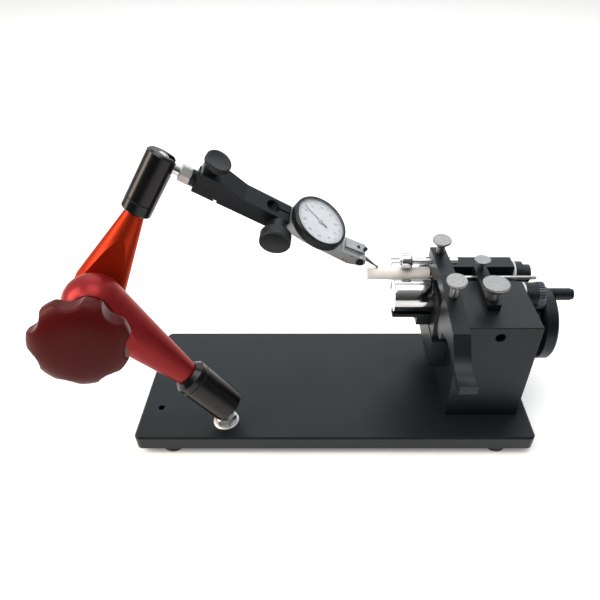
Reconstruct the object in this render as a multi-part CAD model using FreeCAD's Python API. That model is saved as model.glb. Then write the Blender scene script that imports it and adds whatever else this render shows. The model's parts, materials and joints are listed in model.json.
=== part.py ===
import FreeCAD, Part
import math
import os
from FreeCAD import Placement, Rotation, Vector

# Concentricity gauge: a base plate carries a roller head and a jointed arm with a dial test indicator.
# The test pin turns on two rollers under a sprung press roller while the indicator reads its top.
# Frame: +X to the handwheel, +Y away from the user, +Z up, origin on the plate's underside centre.

# Base plate and feet
PLATE_LENGTH = 250.0
PLATE_DEPTH = 100.0
PLATE_THICK = 10.0
PLATE_CORNER_R = 4.0
PLATE_BEVEL = 1.0
FOOT_R = 7.0
FOOT_HEIGHT = 5.0
FOOT_EDGE_X = 22.0
FOOT_EDGE_Y = 8.0
FOOT_STUD_R = 1.6
FOOT_STUD_GRIP = 6.0
SPARE_HOLE_X = -113.0
SPARE_HOLE_Y = -25.0
SPARE_HOLE_R = 2.0
SPARE_HOLE_DEPTH = 7.0

# Rollers and the pin they carry
ROLLER_R = 10.5
ROLLER_LENGTH = 23.0
ROLLER_SPACING = 24.0
ROLLER_CHAMFER = 0.8
JOURNAL_R = 2.5
SHOULDER_R = 4.0
PIN_R = 4.0
PIN_LENGTH = 39.4
PIN_Y = 22.5
AXIS_Z = 75.4

# Clearances: rolling contacts, running fits, and gaps between pieces that move past each other
TOUCH = 0.1
RUN = 0.05
GAP = 0.3

# Housing block, its left bearing block and the support below it
HOUSING_LENGTH = 45.8
HOUSING_INSET = 8.0
HOUSING_FRONT = -31.0
HOUSING_DEPTH = 73.5
HOUSING_HEIGHT = 73.2
HOUSING_BEVEL = 0.4
GROOVE_WIDTH = 16.0
GROOVE_DEPTH = 6.7
PASSAGE_WIDTH = 8.6
BEARING_LENGTH = 10.2
BEARING_FRONT = -6.7
BEARING_HEIGHT = 29.0
BEARING_GROOVE = 4.8
SUPPORT_HEIGHT = 20.8
SUPPORT_STEP = 0.4
SUPPORT_FRONT = -10.0
BUSH_WALL = 1.0
BUSH_LENGTH = 10.0
RING_R = 8.0
RING_THICK = 1.0
ACCESS_R = 3.0

# Collars on the roller shafts, and gears between the front shaft and the handwheel
END_COLLAR_R = 8.0
FRONT_COLLAR = 7.6
REAR_COLLAR = 4.9
REAR_HUB_R = 6.0
REAR_HUB = 5.4
COLLAR_RINGS = 5
RING_CUT = 0.3
SIDE_PLAY = 0.1
GEAR_MODULE = 0.5
PINION_TEETH = 32
WHEEL_TEETH = 64
GEAR_WIDTH = 4.2
GEAR_GAP = 0.4
TOOTH_PLAY = 0.16
WHEEL_R = 23.5
WHEEL_THICK = 8.4
WHEEL_RIM = 4.6
WHEEL_WEB = 3.4
WHEEL_HUB_R = 8.0
WHEEL_SHIFT = 2.0
WHEEL_SHAFT_R = 4.0
WHEEL_SHAFT_GRIP = 24.0
GRIP_R = 4.0
GRIP_LENGTH = 10.8
GRIP_OFFSET = 19.4
GRIP_ANGLE = 71.0
GRIP_EDGE = 0.5
GRIP_PIN_R = 1.5

# Press lever, its pivot, the sprung press roller and the knurled screws
LEVER_WIDTH = 9.2
PIVOT_Y = -23.5
PIVOT_Z = 76.0
PIVOT_R = 3.0
PIVOT_GRIP = 38.0
PIVOT_INSET = 0.1
WASHER_R = 5.4
SPRING_R = 4.6
SPRING_WIRE_R = 0.4
SPRING_TURNS = 6
PRESS_R = 5.0
PRESS_WIDTH = 6.3
PRESS_SHAFT_R = 1.8
PRESS_HEAD_R = 2.6
PRESS_TAIL_R = 2.5
PRESS_TAIL = 5.0
PRESS_TAIL_GAP = 1.9
LOCK_THREAD_R = 1.6
LOCK_SCREW_R = 5.75
LOCK_SCREW_RIM = 1.5
LOCK_SCREW_TAPER = 2.8
LOCK_HUB_R = 3.3
LOCK_NECK_R = 2.5
PRESS_SCREW_LEAN = 8.0
SPOT_FACE_R = 3.2
SPOT_FACE = 0.7
PRESS_SCREW_HEIGHT = 11.6
PIVOT_SCREW_HEIGHT = 12.4
PIVOT_SCREW_BACK = 1.0
PRESS_SCREW_BACK = 0.6
SCREW_FOOT = 0.4

# Axial stop: a rod held in a bracket on the housing
ROD_R = 1.25
ROD_LENGTH = 68.8
ROD_Z = 80.3
STOP_WIDTH = 8.0
STOP_THICK = 4.3
STOP_FRONT = -15.5
STOP_REAR = 26.5
STOP_SCREW_Y = -9.0
STOP_SCREW_R = 7.9
STOP_SCREW_RIM = 1.8
STOP_SCREW_TAPER = 3.0
STOP_HUB_R = 5.2
STOP_NECK_R = 3.4
STOP_SCREW_HEIGHT = 11.2
STOP_SCREW_GRIP = 8.0
ROD_SCREW_R = 5.2
ROD_SCREW_RIM = 1.2
ROD_SCREW_TAPER = 1.6
ROD_HUB_R = 2.7
ROD_NECK_R = 1.9
ROD_SCREW_HEIGHT = 6.9

# Tray under the rollers
TRAY_THICK = 2.4
TRAY_DROP = 0.6
TRAY_FRONT = 5.0
TRAY_REAR = 12.4
TRAY_LIP = 1.4
LUG_LENGTH = 8.4
LUG_DEPTH = 11.0
LUG_HEIGHT = 7.3
TRAY_SCREW_R = 2.0
TRAY_SCREW_GRIP = 5.0

# Places along X, all counted from the housing so that the head stays at the plate's end
HOUSING_X = PLATE_LENGTH / 2 - HOUSING_INSET - HOUSING_LENGTH
ROLLER_X = HOUSING_X - 34.5
PIN_X = HOUSING_X - 50.6
LEVER_X = HOUSING_X - 10.9
PRESS_X = HOUSING_X - 29.5
TRAY_X = HOUSING_X - 34.7
STOP_X = HOUSING_X + 17.1
ACCESS_X = HOUSING_X + 22.5
TIP_X = HOUSING_X - 44.6

# Indicator pose: its long axis is turned, dipped and rolled, and its tip sits on the pin's crown
YAW = 8.0
DIP = 32.5
ROLL = 21.0
TIP_AHEAD = 50.6
TIP_BELOW = 13.7
TIP_R = 0.9

# Indicator body, dial and stylus
DIAL_R = 15.3
BEZEL_R = 17.2
BEZEL_TOP = 0.6
BEZEL_FOOT = -5.0
CRYSTAL_THICK = 0.5
DIAL_DEPTH = 1.05
DIAL_THICK = 0.5
BOSS_R = 13.6
BODY_WIDTH = 12.0
STYLUS_A = 35.0
STYLUS_N = -10.6
STYLUS_HUB_R = 2.6
STYLUS_HUB_WIDTH = 5.4
STYLUS_ROOT_R = 1.6
NOSE_R = 3.6
POINTER_LENGTH = 13.2
POINTER_FOOT = -0.75
RAIL_NECK = 4.0
RAIL_WIDTH = 6.4
RAIL_HEIGHT = 2.2

# Holder bar with a dovetail clamp and a fine adjustment
BAR_WIDTH = 12.6
BAR_TOP = -6.2
BAR_FOOT = -17.0
BAR_END = -16.8
BAR_KINK = -44.7
BAR_CREST = -59.0
BAR_RISE = 3.7
BAR_TAIL = -70.8
STEM_BORE_R = 4.0
STEM_BORE_A = -27.9
SLIT = 1.2
CLAMP_A = -21.6
CLAMP_NECK_R = 5.6
CLAMP_NECK = 7.6
CLAMP_KNOB_R = 8.85
CLAMP_KNOB_HEIGHT = 6.4
KNUCKLE_A = -70.0
KNUCKLE_N = -21.5
KNUCKLE_R = 12.4
BLOCK_A = -71.4
BLOCK_NOSE = -57.2
COLLAR_R = 4.6
COLLAR = 2.8
STUD_NUT = 6.0
STUD_NUT_FLATS = 8.5
FINE_A = -66.0
FINE_R = 7.0
FINE_HEIGHT = 3.4
FINE_NECK = 5.0
FINE_NECK_R = 3.2

# Jointed arm: two links offset at a clamped elbow, a ball joint at each end
STUD_X = -69.0
STUD_Y = -35.8
LOWER_BALL_Z = 28.5
UPPER_BALL_A = -91.1
UPPER_BALL_N = -13.7
LOWER_LENGTH = 96.4
UPPER_LENGTH = 78.3
ELBOW_OFFSET = 23.3
ARM_SWING = 73.0
LOWER_BALL_R = 7.0
LOWER_SOCKET_R = 10.7
LOWER_SOCKET = 30.5
LOWER_MOUTH = 5.5
LOWER_SHOULDER = 2.4
LOWER_ROOT_R = 7.2
LOWER_ELBOW_R = 16.0
LOWER_NECK_R = 3.2
UPPER_BALL_R = 5.5
UPPER_SOCKET_R = 8.2
UPPER_SOCKET = 30.0
UPPER_MOUTH = 5.0
UPPER_SHOULDER = 0.6
SOCKET_RING = 0.35
UPPER_ROOT_R = 5.1
UPPER_ELBOW_R = 13.8
UPPER_NECK_R = 3.0
CUP_WALL = 1.5
CUP_ANGLE = 50.0
UPPER_FLAT = 8.0
KNOB_FLAT = 12.0
ELBOW_BOSS_R = 10.0
FOOT_WASHER_R = 8.0
FOOT_WASHER = 1.5
FOOT_NUT = 5.0
FOOT_NUT_FLATS = 12.0
KNOB_R = 23.0
KNOB_THICK = 13.0
KNOB_DOME = 2.0
KNOB_LOBES = 7
KNOB_TURN = -13.0
KNOB_SCALLOP_R = 9.2
KNOB_SCALLOP_AT = 28.8
KNOB_NECK_R = 10.5
KNOB_FLARE = 5.5
KNOB_REACH = 47.4
BOLT_R = 4.0

NODES = {}


def keep(name, *solids):
    """Store one node: its solids are written to parts/name.step."""
    NODES[name] = solids[0] if len(solids) == 1 else Part.makeCompound(list(solids))
    return NODES[name]


def block(x0, x1, y0, y1, z0, z1):
    return Part.makeBox(x1 - x0, y1 - y0, z1 - z0, Vector(x0, y0, z0))


def rod(radius, length, start, direction):
    return Part.makeCylinder(radius, length, Vector(*start), Vector(*direction))


X = (1, 0, 0)
Y = (0, 1, 0)
Z = (0, 0, 1)


def union(*solids):
    result = solids[0]
    for solid in solids[1:]:
        result = result.fuse(solid)
    return result.removeSplitter()


def prism(points, start, length, direction=X):
    """Extrude a closed outline. Points are (y, z) for an extrusion along X."""
    corners = [Vector(start, y, z) for y, z in points]
    face = Part.Face(Part.makePolygon(corners + corners[:1]))
    return face.extrude(Vector(*direction) * length)


def turned(points):
    """Revolve (radius, height) points about Z into a solid."""
    corners = [Vector(r, 0, z) for r, z in points]
    face = Part.Face(Part.makePolygon(corners + corners[:1]))
    return face.revolve(Vector(0, 0, 0), Vector(0, 0, 1), 360)


def drum(radius, height, bevel):
    """A turned disc standing on Z = 0 with both edges chamfered."""
    return turned([(0, 0), (radius - bevel, 0), (radius, bevel), (radius, height - bevel),
                   (radius - bevel, height), (0, height)])


def framed(origin, x_axis, z_axis):
    """Placement whose local Z follows z_axis and whose local X leans to x_axis."""
    z = Vector(*z_axis).normalize()
    y = z.cross(Vector(*x_axis)).normalize()
    x = y.cross(z)
    matrix = FreeCAD.Matrix(x.x, y.x, z.x, origin[0], x.y, y.y, z.y, origin[1],
                            x.z, y.z, z.z, origin[2], 0, 0, 0, 1)
    return Placement(matrix)


def put(shape, placement):
    moved = shape.copy()
    moved.Placement = placement.multiply(moved.Placement)
    return moved


def disc_screw(radius, rim, taper, hub_r, neck_r, height, thread):
    """A thin knurled disc on a tapered hub and a narrow neck, with its thread below 0."""
    under = height - rim
    return turned([(0, -thread), (LOCK_THREAD_R, -thread), (LOCK_THREAD_R, 0), (neck_r - SCREW_FOOT, 0),
                   (neck_r, SCREW_FOOT), (neck_r, under - taper),
                   (hub_r, under - taper), (0.86 * radius, under), (radius - 0.3, under),
                   (radius, under + 0.3), (radius, height - 0.4), (radius - 0.4, height), (0, height)])


def thumbscrew(radius, height, neck_r, neck, thread_r, thread):
    """A knurled screw along Z: thread below 0, neck and head above."""
    head = drum(radius, height, 0.5)
    head.translate(Vector(0, 0, neck))
    return union(rod(thread_r, thread, (0, 0, -thread), Z), rod(neck_r, neck + 0.5, (0, 0, 0), Z), head)


# Base plate on four screwed feet
plate = block(-PLATE_LENGTH / 2, PLATE_LENGTH / 2, -PLATE_DEPTH / 2, PLATE_DEPTH / 2, 0, PLATE_THICK)
plate = plate.makeFillet(PLATE_CORNER_R, [e for e in plate.Edges if e.BoundBox.ZLength > PLATE_THICK - 0.01])
plate = plate.makeChamfer(PLATE_BEVEL, [e for e in plate.Edges if e.BoundBox.ZMin > PLATE_THICK - 0.01])
feet = []
foot_studs = []
for side in (-1, 1):
    for end in (-1, 1):
        x = side * (PLATE_LENGTH / 2 - FOOT_EDGE_X)
        y = end * (PLATE_DEPTH / 2 - FOOT_EDGE_Y)
        foot = turned([(0, 0), (FOOT_R - 0.6, 0), (FOOT_R, 0.6), (FOOT_R, FOOT_HEIGHT), (0, FOOT_HEIGHT)])
        foot.translate(Vector(x, y, -FOOT_HEIGHT))
        feet.append(foot)
        foot_studs.append(rod(FOOT_STUD_R, FOOT_STUD_GRIP, (x, y, 0), Z))
        plate = plate.cut(foot_studs[-1])
spare_foot = PLATE_THICK - SPARE_HOLE_DEPTH
plate = plate.cut(rod(SPARE_HOLE_R, SPARE_HOLE_DEPTH, (SPARE_HOLE_X, SPARE_HOLE_Y, spare_foot), Z))
plate = plate.cut(rod(LOWER_NECK_R, PLATE_THICK, (STUD_X, STUD_Y, 0), Z))
keep("base_plate", plate)
keep("feet", *feet)
keep("foot_studs", *foot_studs)

# Places that the head's pieces share
FRONT_Y = PIN_Y - ROLLER_SPACING / 2
REAR_Y = PIN_Y + ROLLER_SPACING / 2
HOUSING_END = HOUSING_X + HOUSING_LENGTH
HOUSING_TOP = PLATE_THICK + HOUSING_HEIGHT
HOUSING_REAR = HOUSING_FRONT + HOUSING_DEPTH
BEARING_X = HOUSING_X - BEARING_LENGTH
BEARING_FOOT = HOUSING_TOP - BEARING_HEIGHT
PIN_Z = AXIS_Z + math.sqrt((ROLLER_R + PIN_R + TOUCH) ** 2 - (ROLLER_SPACING / 2) ** 2)
PRESS_Z = PIN_Z + PIN_R + TOUCH + PRESS_R
ROLLER_END = ROLLER_X + ROLLER_LENGTH
BUSH_R = JOURNAL_R + RUN + BUSH_WALL
RING_END = HOUSING_END + RING_THICK
COLLAR_X = RING_END + SIDE_PLAY
GEAR_X = COLLAR_X + FRONT_COLLAR
GEAR_CENTRE = GEAR_MODULE * (PINION_TEETH + WHEEL_TEETH) / 2
WHEEL_Y = FRONT_Y + WHEEL_SHIFT
WHEEL_Z = AXIS_Z - math.sqrt(GEAR_CENTRE ** 2 - WHEEL_SHIFT ** 2)
WHEEL_X = GEAR_X + GEAR_WIDTH + GEAR_GAP
PIVOT_END = HOUSING_X + PIVOT_GRIP
SPRING_POCKET_R = SPRING_R + SPRING_WIRE_R + GAP
SPRING_LENGTH = 2 * SPRING_WIRE_R * SPRING_TURNS
SPRING_POCKET = SPRING_LENGTH + 2 * GAP

# Housing block with the long groove, the shaft bores and the access hole
housing = block(HOUSING_X, HOUSING_END, HOUSING_FRONT, HOUSING_REAR, PLATE_THICK, HOUSING_TOP)
housing_rim = [e for e in housing.Edges if e.BoundBox.ZMin > HOUSING_TOP - 0.01]
housing = housing.makeChamfer(HOUSING_BEVEL, housing_rim)
groove_floor = HOUSING_TOP - GROOVE_DEPTH
housing = housing.cut(block(HOUSING_X, HOUSING_END, PIN_Y - GROOVE_WIDTH / 2, PIN_Y + GROOVE_WIDTH / 2,
                            groove_floor, HOUSING_TOP))
for y in (FRONT_Y, REAR_Y):
    housing = housing.cut(rod(JOURNAL_R + 4 * RUN, HOUSING_LENGTH, (HOUSING_X, y, AXIS_Z), X))
    housing = housing.cut(rod(BUSH_R, BUSH_LENGTH, (HOUSING_END - BUSH_LENGTH, y, AXIS_Z), X))
housing = housing.cut(rod(PIVOT_R + RUN, PIVOT_GRIP + RUN, (HOUSING_X, PIVOT_Y, PIVOT_Z), X))
housing = housing.cut(rod(SPRING_POCKET_R, SPRING_POCKET, (HOUSING_X, PIVOT_Y, PIVOT_Z), X))
access_depth = PIVOT_Y - PIVOT_R - HOUSING_FRONT - GAP
housing = housing.cut(rod(ACCESS_R, access_depth, (ACCESS_X, HOUSING_FRONT, PIVOT_Z), Y))
wheel_bore_x = HOUSING_END - WHEEL_SHAFT_GRIP
housing = housing.cut(rod(WHEEL_SHAFT_R + RUN, WHEEL_SHAFT_GRIP, (wheel_bore_x, WHEEL_Y, WHEEL_Z), X))
stop_screw_x = STOP_X + STOP_WIDTH / 2
stop_bore = STOP_SCREW_GRIP + 2.0
stop_bore_foot = HOUSING_TOP - stop_bore
housing = housing.cut(rod(LOCK_THREAD_R + RUN, stop_bore, (stop_screw_x, STOP_SCREW_Y, stop_bore_foot), Z))
keep("housing_block", housing)

# Bearing block on the housing's left face, and the support that carries it
bearing = block(BEARING_X, HOUSING_X, BEARING_FRONT, HOUSING_REAR, BEARING_FOOT, HOUSING_TOP)
bearing_rim = [e for e in bearing.Edges if e.BoundBox.ZMin > HOUSING_TOP - 0.01]
bearing = bearing.makeChamfer(HOUSING_BEVEL, bearing_rim)
bearing = bearing.cut(block(BEARING_X, HOUSING_X, PIN_Y - PASSAGE_WIDTH / 2, PIN_Y + PASSAGE_WIDTH / 2,
                            HOUSING_TOP - BEARING_GROOVE, HOUSING_TOP))
for y in (FRONT_Y, REAR_Y):
    bearing = bearing.cut(rod(BUSH_R, BEARING_LENGTH, (BEARING_X, y, AXIS_Z), X))
support_foot = BEARING_FOOT - SUPPORT_HEIGHT
support = block(BEARING_X - SUPPORT_STEP, HOUSING_X, SUPPORT_FRONT, HOUSING_REAR, support_foot, BEARING_FOOT)
bushes = []
rings = []
for y in (FRONT_Y, REAR_Y):
    for start in (BEARING_X, HOUSING_END - BUSH_LENGTH):
        bush = rod(BUSH_R, BUSH_LENGTH, (start, y, AXIS_Z), X)
        bushes.append(bush.cut(rod(JOURNAL_R + RUN, BUSH_LENGTH, (start, y, AXIS_Z), X)))
    ring = rod(RING_R, RING_THICK, (HOUSING_END, y, AXIS_Z), X)
    rings.append(ring.cut(rod(JOURNAL_R + RUN, RING_THICK, (HOUSING_END, y, AXIS_Z), X)))
keep("shaft_bushes", *bushes)
keep("nylon_rings", *rings)

# Tray under the rollers, screwed to the bearing block by its lug
tray_top = AXIS_Z - ROLLER_R - TRAY_DROP
tray = block(TRAY_X, BEARING_X, TRAY_FRONT, TRAY_REAR, tray_top - TRAY_THICK, tray_top)
tray_corners = [e for e in tray.Edges if e.BoundBox.XMax < TRAY_X + 0.01 and e.BoundBox.ZLength > 1]
tray = tray.makeFillet(TRAY_LIP, tray_corners)
lug_top = tray_top - TRAY_THICK
lug_x = BEARING_X - LUG_LENGTH
lug_y = TRAY_FRONT + TRAY_LIP + LUG_DEPTH / 2
lug_z = lug_top - LUG_HEIGHT / 2
lug = block(lug_x, BEARING_X, lug_y - LUG_DEPTH / 2, lug_y + LUG_DEPTH / 2, lug_top - LUG_HEIGHT, lug_top)
tray_screw = union(rod(TRAY_SCREW_R, 1.4, (lug_x - 1.4, lug_y, lug_z), X),
                   rod(TRAY_SCREW_R * 0.55, LUG_LENGTH + TRAY_SCREW_GRIP, (lug_x - 0.1, lug_y, lug_z), X))
thread_hole = rod(TRAY_SCREW_R * 0.55, LUG_LENGTH + TRAY_SCREW_GRIP, (lug_x - 0.1, lug_y, lug_z), X)
keep("roller_tray", union(tray, lug).cut(thread_hole))
keep("tray_screw", tray_screw)
keep("bearing_block", bearing.cut(thread_hole))
keep("bearing_support", support)

# Rollers with their shafts. The front shaft also carries the pinion.
pin = rod(PIN_R, PIN_LENGTH, (PIN_X, PIN_Y, PIN_Z), X)
keep("test_pin", pin.makeChamfer(0.4, [e for e in pin.Edges if e.BoundBox.XLength < 0.01]))
front_end = GEAR_X + GEAR_WIDTH
rear_end = COLLAR_X + REAR_COLLAR + REAR_HUB
for name, y, shaft_end in (("front_roller", FRONT_Y, front_end), ("rear_roller", REAR_Y, rear_end)):
    roller = drum(ROLLER_R, ROLLER_LENGTH, ROLLER_CHAMFER)
    shoulder = rod(SHOULDER_R, BEARING_X - GAP - ROLLER_END, (0, 0, ROLLER_LENGTH), Z)
    journal = rod(JOURNAL_R, shaft_end - ROLLER_END, (0, 0, ROLLER_LENGTH), Z)
    keep(name, put(union(roller, shoulder, journal), framed((ROLLER_X, y, AXIS_Z), Z, X)))

# Collars that end the roller shafts: a finely ringed one in front, a stepped one behind
ring_step = FRONT_COLLAR / COLLAR_RINGS
ringed = [(JOURNAL_R, 0)]
for i in range(COLLAR_RINGS):
    ringed += [(END_COLLAR_R - RING_CUT, i * ring_step), (END_COLLAR_R, i * ring_step + RING_CUT),
               (END_COLLAR_R, (i + 1) * ring_step - RING_CUT)]
ringed += [(END_COLLAR_R - RING_CUT, FRONT_COLLAR), (JOURNAL_R, FRONT_COLLAR)]
stepped = [(JOURNAL_R, 0), (END_COLLAR_R, 0), (END_COLLAR_R, REAR_COLLAR - RING_CUT),
           (END_COLLAR_R - RING_CUT, REAR_COLLAR), (REAR_HUB_R, REAR_COLLAR),
           (REAR_HUB_R, REAR_COLLAR + REAR_HUB - RING_CUT), (REAR_HUB_R - RING_CUT, REAR_COLLAR + REAR_HUB),
           (JOURNAL_R, REAR_COLLAR + REAR_HUB)]
keep("front_collar", put(turned(ringed), framed((COLLAR_X, FRONT_Y, AXIS_Z), Z, X)))
keep("rear_collar", put(turned(stepped), framed((COLLAR_X, REAR_Y, AXIS_Z), Z, X)))


def gear(teeth, width, bore, phase):
    """A spur gear with straight-sided teeth, cut a little thin so that a pair runs free."""
    pitch_r = GEAR_MODULE * teeth / 2
    root_r = pitch_r - 1.25 * GEAR_MODULE
    tip_r = pitch_r + GEAR_MODULE
    step = 2 * math.pi / teeth
    play = TOOTH_PLAY / pitch_r / 2
    corners = []
    for i in range(teeth):
        mid = i * step + math.radians(phase)
        for radius, half in ((root_r, 0.37 * step), (tip_r, 0.12 * step)):
            corners.append((radius, mid - half + play))
        for radius, half in ((tip_r, 0.12 * step), (root_r, 0.37 * step)):
            corners.append((radius, mid + half - play))
    points = [Vector(r * math.cos(a), r * math.sin(a), 0) for r, a in corners]
    blank = Part.Face(Part.makePolygon(points + points[:1])).extrude(Vector(0, 0, width))
    return blank.cut(rod(bore, width, (0, 0, 0), Z))


# Gear pair: a pinion on the front shaft, a wheel on the handwheel shaft, local X on the line of centres
LINE = (0, WHEEL_Y - FRONT_Y, WHEEL_Z - AXIS_Z)
pinion_frame = framed((GEAR_X, FRONT_Y, AXIS_Z), LINE, X)
keep("pinion", put(gear(PINION_TEETH, GEAR_WIDTH, JOURNAL_R, 0), pinion_frame))
wheel_phase = 180 + 180 / WHEEL_TEETH
keep("drive_gear", put(gear(WHEEL_TEETH, GEAR_WIDTH, WHEEL_SHAFT_R, wheel_phase),
                       framed((GEAR_X, WHEEL_Y, WHEEL_Z), LINE, X)))

# Handwheel, its shaft, and the crank grip that turns on a pin
WHEEL_FRAME = framed((WHEEL_X, WHEEL_Y, WHEEL_Z), Y, X)
wheel_web = (WHEEL_THICK - WHEEL_WEB) / 2
handwheel = turned([(WHEEL_SHAFT_R, 0), (WHEEL_HUB_R, 0),
                    (WHEEL_HUB_R, wheel_web), (WHEEL_R - WHEEL_RIM, wheel_web),
                    (WHEEL_R - WHEEL_RIM + 1, 0), (WHEEL_R - 1, 0), (WHEEL_R, 1), (WHEEL_R, WHEEL_THICK - 1),
                    (WHEEL_R - 1, WHEEL_THICK), (WHEEL_R - WHEEL_RIM + 1, WHEEL_THICK),
                    (WHEEL_R - WHEEL_RIM, WHEEL_THICK - wheel_web), (WHEEL_HUB_R, WHEEL_THICK - wheel_web),
                    (WHEEL_HUB_R, WHEEL_THICK), (WHEEL_SHAFT_R, WHEEL_THICK)])
grip_y = GRIP_OFFSET * math.cos(math.radians(GRIP_ANGLE))
grip_z = GRIP_OFFSET * math.sin(math.radians(GRIP_ANGLE))
grip_seat = rod(GRIP_R, WHEEL_THICK, (grip_y, grip_z, wheel_web), Z)
handwheel = union(handwheel, grip_seat).cut(rod(GRIP_PIN_R, WHEEL_THICK * 2, (grip_y, grip_z, 0), Z))
grip_start = WHEEL_THICK + wheel_web + GAP
grip_end = grip_start + GRIP_LENGTH
grip_pin = union(rod(GRIP_PIN_R, grip_end - wheel_web + GAP, (grip_y, grip_z, wheel_web), Z),
                 rod(GRIP_R - GRIP_EDGE, 1.0, (grip_y, grip_z, grip_end + GAP), Z))
grip = turned([(GRIP_PIN_R + RUN, 0), (GRIP_R - 0.3, 0), (GRIP_R, 0.3), (GRIP_R, GRIP_LENGTH - GRIP_EDGE),
               (GRIP_R - GRIP_EDGE, GRIP_LENGTH), (GRIP_PIN_R + RUN, GRIP_LENGTH)])
grip.translate(Vector(grip_y, grip_z, grip_start))
keep("handwheel", put(handwheel, WHEEL_FRAME))
keep("grip_pin", put(grip_pin, WHEEL_FRAME))
keep("crank_grip", put(grip, WHEEL_FRAME))
shaft_start = HOUSING_END - WHEEL_SHAFT_GRIP + GAP
shaft_run = WHEEL_X + WHEEL_THICK - shaft_start
keep("wheel_shaft", rod(WHEEL_SHAFT_R, shaft_run, (shaft_start, WHEEL_Y, WHEEL_Z), X))

# Press lever: a thumb tab in front, a pivot lug, and a rear arm over the pin, measured from its pivot
LEVER_END = LEVER_X + LEVER_WIDTH
LUG_R = 5.6
BELLY = 17.5
REAR_UNDER = 11.0
CREST = (PIVOT_Y + 18.5, PIVOT_Z + 25.5)
REAR_TOP = (PIVOT_Y + 55.0, PIVOT_Z + 21.5)
FRONT_TOP = (PIVOT_Y - 26.5, PIVOT_Z + 19.5)


def spot(ahead_y, above_z):
    return Vector(0, PIVOT_Y + ahead_y, PIVOT_Z + above_z)


tab_root = spot(-34.5, 11.3)
tab_tip = spot(-54.0, 9.2)
tab_under = spot(-53.8, 3.6)
neck_under = spot(-27.0, 7.3)
lug_front = spot(-17.5, 7.3)
lug_side = spot(0.4 - LUG_R, 2.2)
outline = [Part.makeLine(Vector(0, *REAR_TOP), Vector(0, *CREST)),
           Part.makeLine(Vector(0, *CREST), Vector(0, *FRONT_TOP)),
           Part.makeLine(Vector(0, *FRONT_TOP), tab_root),
           Part.Arc(tab_root, spot(-41.0, 7.8), tab_tip).toShape(),
           Part.makeLine(tab_tip, tab_under),
           Part.Arc(tab_under, spot(-38.5, 3.8), neck_under).toShape(),
           Part.makeLine(neck_under, lug_front),
           Part.makeLine(lug_front, lug_side),
           Part.Arc(lug_side, spot(0, -LUG_R), spot(LUG_R, 0)).toShape(),
           Part.makeLine(spot(LUG_R, 0), spot(LUG_R, BELLY)),
           Part.makeLine(spot(LUG_R, BELLY), spot(25.5, BELLY)),
           Part.makeLine(spot(25.5, BELLY), spot(33.5, REAR_UNDER)),
           Part.makeLine(spot(33.5, REAR_UNDER), spot(55.0, REAR_UNDER)),
           Part.makeLine(spot(55.0, REAR_UNDER), Vector(0, *REAR_TOP))]
lever_face = Part.Face(Part.Wire(outline))
lever = lever_face.extrude(Vector(LEVER_WIDTH, 0, 0))
lever.translate(Vector(LEVER_X, 0, 0))
lever = lever.cut(rod(PRESS_SHAFT_R + RUN, LEVER_WIDTH, (LEVER_X, PIN_Y, PRESS_Z), X))
lever = lever.cut(rod(PIVOT_R, LEVER_WIDTH, (LEVER_X, PIVOT_Y, PIVOT_Z), X))


def on_lever(y):
    """Height of the lever's top face above y, and the face's normal."""
    low, high = (CREST, REAR_TOP) if y > CREST[0] else (FRONT_TOP, CREST)
    slope = (high[1] - low[1]) / (high[0] - low[0])
    return low[1] + slope * (y - low[0]), (0, -slope, 1)


def lever_screw(foot, way, reach, height):
    """A knurled screw that stands on the lever along way, and the threaded hole below it."""
    seat = framed((LEVER_X + LEVER_WIDTH / 2, *foot), X, way)
    screw = disc_screw(LOCK_SCREW_R, LOCK_SCREW_RIM, LOCK_SCREW_TAPER, LOCK_HUB_R, LOCK_NECK_R, height, reach)
    return seat, put(screw, seat), put(rod(LOCK_THREAD_R + RUN, reach, (0, 0, -reach), Z), seat)


press_way = (0, -math.sin(math.radians(PRESS_SCREW_LEAN)), math.cos(math.radians(PRESS_SCREW_LEAN)))
press_foot = (PIN_Y + PRESS_SCREW_BACK, on_lever(PIN_Y + PRESS_SCREW_BACK)[0] - SPOT_FACE)
press_rise = (press_foot[1] - PRESS_Z) * press_way[2] + PRESS_SCREW_BACK * press_way[1]
press_seat, press_screw, press_hole = lever_screw(press_foot, press_way, press_rise - PRESS_SHAFT_R - 2 * RUN,
                                                  PRESS_SCREW_HEIGHT)
spot_face = put(rod(SPOT_FACE_R, 3.0, (0, 0, 0), Z), press_seat)
pivot_foot = (PIVOT_Y + PIVOT_SCREW_BACK, on_lever(PIVOT_Y + PIVOT_SCREW_BACK)[0])
pivot_reach = pivot_foot[1] - PIVOT_Z - PIVOT_R - 4 * RUN
pivot_seat, pivot_screw, pivot_hole = lever_screw(pivot_foot, on_lever(PIVOT_Y)[1], pivot_reach,
                                                  PIVOT_SCREW_HEIGHT)
keep("press_lever", lever.cut(press_hole).cut(spot_face).cut(pivot_hole))
keep("press_lock_screw", press_screw)
keep("pivot_lock_screw", pivot_screw)

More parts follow.
